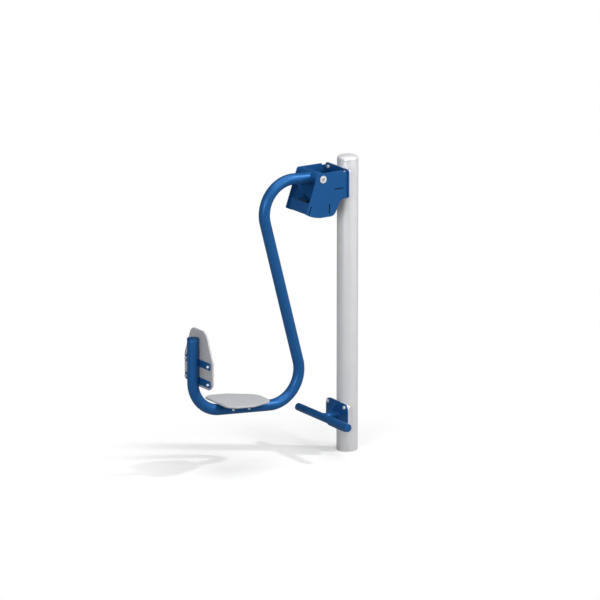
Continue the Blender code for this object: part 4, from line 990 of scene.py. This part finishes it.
# %% Hub and bushes
BUSH_LENGTH, BUSH_FLANGE, BORE = 0.032, 0.003, HUB - 0.005
HUB_HALF = SIDE_INNER - 0.0005 - BUSH_FLANGE - FIT
hub = np.concatenate([quarter(-HUB_HALF + 0.0006, HUB - 0.0006, 0.0006, -1, 4),
                      quarter(HUB_HALF - 0.0006, HUB - 0.0006, 0.0006, 0, 4),
                      [[HUB_HALF, BORE], [-HUB_HALF, BORE]]])
add_piece("hub_sleeve", turned(hub, ACROSS, pivot, 128, closed=True), blue, "arm", "hub_tube")
bush = np.concatenate([
    [[-BUSH_LENGTH, AXLE_HOLE], [-BUSH_LENGTH, BORE - FIT], [0, BORE - FIT]],
    quarter(0.0004, 0.0276, 0.0004, -1, 4), quarter(BUSH_FLANGE - 0.0004, 0.0276, 0.0004, 0, 4),
    [[BUSH_FLANGE, AXLE_HOLE]]])
for label, s in both_ends:
    shape = turned(bush, (0, s, 0), pivot + (0, s * (HUB_HALF + FIT), 0), closed=True)
    add_piece("bush_" + label, shape, bronze, "arm", "hub_bush_" + label)
seam = hub_saddle(HUB + 0.0006, 0.0006, 1)[0]
add_welds("hub_weld", [weld(seam, unit(seam - arm_path[0]), 0.0027, True)], blue, "arm")
print("hub", round(2000 * HUB_HALF, 1), "mm long")

# %% [markdown]
# ## Stop fin
# A thick plate stands on edge under hub and tube and swings between the two pads. Its
# long sloping edge is the line that meets the front pad at the end of the swing: the
# pad's face, turned back about the pivot by the swing's limit.

# %% Fin
FIN, FIN_LENGTH, FIN_WAIST, FIN_HEEL, HUB_SEAT = 0.012, 0.097, -0.125, 0.045, HUB - 0.0012
slope = unit(shoulder - root)
front = root + (shoulder - root) * FIN_LENGTH / -shoulder[0]
edge_way = unit(fin_high - fin_low)
waist = fin_low + edge_way * ((FIN_WAIST - fin_low[1]) / edge_way[1])
heel_top = np.array([FIN_REAR, fin_low[1] + FIN_HEEL])
meet = to_circle(heel_top, unit(np.array([0.018, 0.0]) - heel_top), HUB_SEAT, -1)
start = math.atan2(meet[1], meet[0])
fin_loop = outline([
    (front[0], front[1] - TUBE + 0.002, 0), (front[0], front[1] - TUBE - 0.0012, 0),
    (*waist, 0.004), (*fin_low, 0.003), (FIN_REAR, fin_low[1], 0.003), (*heel_top, 0.004),
    *on_circle(HUB_SEAT, np.linspace(start, -math.pi / 2, 12)), (0.001, root[1] - TUBE + 0.002, 0)])
fin = sheet([fin_loop], FIN, upright_sheet, pivot + (0, FIN / 2, 0), 0.0004, 0.0004)
add_piece("stop_fin_sheet", fin, blue, "arm", "stop_fin", wear=0.0)
below = np.array([-slope[1], slope[0]]) * math.sqrt(TUBE ** 2 - (FIN / 2) ** 2)
line = root + below + slope * np.array([[0.004], [np.linalg.norm(front - root) - 0.003]])
rounding = on_circle(HUB, np.linspace(start, -math.pi / 2, 16))[:, :2]
beads = weld_pair(pivot + in_space(line, FIN / 2 + FIT), (0, 1, -0.8), 0.0028)
beads += weld_pair(pivot + in_space(rounding, FIN / 2 + FIT), (0.3, 1, -0.6), 0.0026)
add_welds("fin_weld", beads, blue, "arm")
print("fin waist", np.round(waist * 1000, 1), "heel", np.round(heel_top * 1000, 1))

# %% [markdown]
# ## Seat and backrest
# Each board is a ten millimetre plate whose outline narrows to one end, with well
# rounded rims. Two flat brackets are welded across the tube under each board, and four
# cap nuts per board close the studs. Seat and backrest are the same kit of parts, so
# one function places them both from a frame of three directions.

# %% Board kits
BOARD, STRAP, STRAP_LENGTH, STRAP_WIDTH, STRAP_PITCH = 0.010, 0.006, 0.246, 0.038, 0.0975
STUD_FLATS, STUD_SPAN = 0.007, 0.220
strap_loop = rounded_box(STRAP_LENGTH, STRAP_WIDTH, 0.010)
stud_nut = cap_nut_profile(STUD_FLATS, 0.0065, 0.006)


def board_loop(length, width, end_width, side_start, chamfer, slope, corner, end_corner):
    """Outline of a board from its wide end: chamfered foot, straight sides, tapered end."""
    return mirrored_outline([
        (width / 2 - chamfer, 0, corner), (width / 2, slope, corner),
        (width / 2, side_start, corner), (end_width / 2, length, end_corner)])


def add_board_kit(label, base, along, outwards, loop, setback, standoff):
    """A board with brackets, welds and cap nuts; base is on the tube under its wide end."""
    across = np.cross(along, outwards)
    turn, under = axes(across, along, outwards), standoff - STRAP
    panel = sheet([loop], BOARD, turn, base + outwards * (standoff + FIT), 0.0025, 0.0012)
    add_piece(label + "_panel", panel, board, "arm", label + "_board")
    reach = math.sqrt(TUBE ** 2 - (TUBE + under) ** 2) + 0.0003
    beads, number = [], 1
    for part, level in (("low", setback), ("high", setback + STRAP_PITCH)):
        middle = base + along * level
        strap = sheet([strap_loop], STRAP, turn, middle + outwards * under, 0.0008)
        add_piece(f"{label}_strap_{part}", strap, blue, "arm", f"{label}_bracket_{part}")
        for side in (-1, 1):
            seam = middle + across * side * reach + outwards * (under - 0.0002)
            ends = [seam + along * s for s in (-0.0185, 0.0185)]
            beads.append(weld(ends, across * side - outwards, 0.0026))
            place = middle + across * side * STUD_SPAN / 2 + outwards * (under - FIT)
            dome = turned(stud_nut, -outwards, place, flats=STUD_FLATS)
            add_piece(f"{label}_cap_nut_{number}", dome, zinc, "arm", f"{label}_nut_{number}")
            number += 1
    add_welds(label + "_weld", beads, blue, "arm")


# %% Seat and backrest
# A board's numbers: length, width, end width, start of the taper, chamfer across and along,
# corner radius and end radius. Then come the first bracket's setback and the board's standoff.
run = unit(corners[2] - corners[3])
rise = np.array([-run[1], run[0]])
seat_foot = corners[3] + run * (reaches[2] + 0.0014 + STRAP_WIDTH / 2 - 0.0443) + rise * TUBE
add_board_kit("seat", in_space(seat_foot), in_space(run), in_space(rise),
              board_loop(0.309, 0.277, 0.144, 0.156, 0.028, 0.048, 0.033, 0.058), 0.0443, 0.0048)
back_foot = np.array([heel[0] + TUBE, 0, heel[1] + reaches[2] - 0.0279])
add_board_kit("backrest", back_foot, np.array([0, 0, 1.0]), np.array([1.0, 0, 0]),
              board_loop(0.312, 0.276, 0.140, 0.158, 0.034, 0.030, 0.030, 0.050), 0.035, 0.004)
print("seat starts at X", round(float(seat_foot[0]), 4),
      "backrest foot at Z", round(float(back_foot[2]), 4))

# %% [markdown]
# ## Foot rest
# The feet push against a round bar with a plug in each end. A short stub carries it,
# cut to the bar's roundness, and a gusset above the stub braces it to the plate.

# %% Foot bar and stub
BAR, BAR_REACH, BAR_HEIGHT, BAR_HALF, PLUG = 0.0212, 0.1548, 0.2015, 0.242, 0.003
STUB, STUB_SIDES = 0.0212, 72
bar_place = np.array([-BAR_REACH, 0, BAR_HEIGHT])
foot_bar = turned(bar_profile(2 * BAR_HALF, BAR, 0.0005, 0.0005), ACROSS,
                  bar_place - (0, BAR_HALF, 0))
add_piece("foot_bar_tube", foot_bar, blue, "stand", "foot_bar", wear=0.5)
for label, s in both_ends:
    end = turned(bar_profile(PLUG - FIT, BAR, 0.0003, 0.0014), (0, s, 0),
                 bar_place + (0, s * (BAR_HALF + FIT), 0))
    add_piece("foot_bar_end_" + label, end, blue, "stand", "foot_bar_plug_" + label, wear=0.7)
t = full_turn(STUB_SIDES)
y, z = STUB * np.sin(t), STUB * np.cos(t)
end_x = -BAR_REACH + np.sqrt(np.maximum((BAR - 0.0006) ** 2 - z ** 2, 0))
shares = np.array([0.0, 0.02, 0.5, 0.98, 1.0])[:, None]
x = PLATE_FRONT + 0.0005 + (end_x - PLATE_FRONT - 0.0005) * shares
stub = np.stack(np.broadcast_arrays(x, y, z + BAR_HEIGHT), -1)
add_piece("foot_stub_tube", skin(stub), blue, "stand", "foot_stub")
print("foot rest bar", round(2000 * BAR_HALF), "mm long")

# %% Gusset and welds
GUSSET, GUSSET_HEIGHT, GUSSET_LENGTH = 0.006, 0.0505, 0.0425
gusset_loop = outline([
    (0.0005, STUB - 0.0015, 0), (0.0005, STUB + GUSSET_HEIGHT, 0),
    (-0.003, STUB + GUSSET_HEIGHT, 0.0015), (-GUSSET_LENGTH, STUB + 0.003, 0.0015),
    (-GUSSET_LENGTH, STUB - 0.0015, 0)])
gusset = sheet([gusset_loop], GUSSET, upright_sheet, (PLATE_FRONT, GUSSET / 2, BAR_HEIGHT),
               0.0007, 0.0003)
add_piece("foot_gusset_sheet", gusset, blue, "stand", "foot_gusset")
round_out = np.stack([np.full(STUB_SIDES, -0.7), np.sin(t), np.cos(t)], -1)
at_plate = np.stack([np.full(STUB_SIDES, PLATE_FRONT - 0.0003), 1.015 * y,
                     1.015 * z + BAR_HEIGHT], -1)
at_bar = np.stack([-BAR_REACH + np.sqrt((BAR + 0.0004) ** 2 - z ** 2), 1.015 * y,
                   1.01 * z + BAR_HEIGHT], -1)
stub_top, gusset_side = BAR_HEIGHT + STUB, GUSSET / 2 + FIT
upright_ends = [(PLATE_FRONT - 0.0003, gusset_side, stub_top + up) for up in (0.002, 0.0485)]
level_ends = [(PLATE_FRONT - out, gusset_side, stub_top - 0.0002) for out in (0.003, 0.0405)]
beads = [weld(at_plate, round_out, 0.0026, True)]
beads += [weld(at_bar, round_out * (-1, 1, 1), 0.0024, True)]
beads += weld_pair(upright_ends, (-1, 1, 0), 0.0023) + weld_pair(level_ends, (0, 1, 1), 0.0023)
add_welds("foot_rest_weld", beads, blue, "stand")
print("foot rest weld has", len(beads), "beads")

# %% [markdown]
# ## Floor and sky
# The object stands on a plain pale plane that runs out of the picture on all sides. What
# the camera sees of it is brighter than what lights the object: a glow lifts it to the
# white of a studio backdrop, where the shadows fade out a metre from the object. For
# all other rays it is a plain grey, so that undersides stay dark. The sky adds almost
# nothing, because an even sky would flatten the tubes.

# %% Floor and sky
FLOOR_HALF = 45.0
ends = [(x * FLOOR_HALF, y * FLOOR_HALF, 0) for x, y in ((-1, -1), (1, -1), (1, 1), (-1, 1))]
floor_mesh = bpy.data.meshes.new("studio_floor")
floor_mesh.from_pydata(ends, [], [(0, 1, 2, 3)])
floor = bpy.data.objects.new("studio_floor", floor_mesh)
scene.collection.objects.link(floor)
floor_surface = bpy.data.materials.new("pale_floor")
floor_mesh.materials.append(floor_surface)
tree = new_nodes(floor_surface)
bounced = node(tree, "BsdfDiffuse", Color=(0.34, 0.34, 0.34, 1.0))
seen = node(tree, "BsdfDiffuse", Color=(0.52, 0.52, 0.52, 1.0))
glow = node(tree, "Emission", Color=(1.0, 1.0, 1.0, 1.0), Strength=0.33)
white = node(tree, "Emission", Color=(1.0, 1.0, 1.0, 1.0), Strength=1.0)
near = node(tree, "AddShader", seen.outputs[0], glow.outputs[0])
place = node(tree, "TexCoord").outputs["Object"]
away = node(tree, "VectorMath", place, (-0.38, -0.1, 0.0), operation="DISTANCE")
fade = ramp(tree, away.outputs["Value"], 0.62, 1.12)
backdrop = node(tree, "MixShader", fade, near.outputs[0], white.outputs[0])
to_camera = node(tree, "LightPath").outputs["Is Camera Ray"]
choice = node(tree, "MixShader", to_camera, bounced.outputs[0], backdrop.outputs[0])
node(tree, "OutputMaterial", choice.outputs[0])

scene.world = bpy.data.worlds.new("studio")
tree = new_nodes(scene.world)
sky = node(tree, "Background", Color=(0.95, 0.97, 1.0, 1.0), Strength=0.05)
node(tree, "OutputWorld", sky.outputs[0])
print("floor is", 2 * FLOOR_HALF, "m wide")

# %% [markdown]
# ## Close
# The view layer is brought up to date at the end.

# %% Update the view layer
bpy.context.view_layer.update()
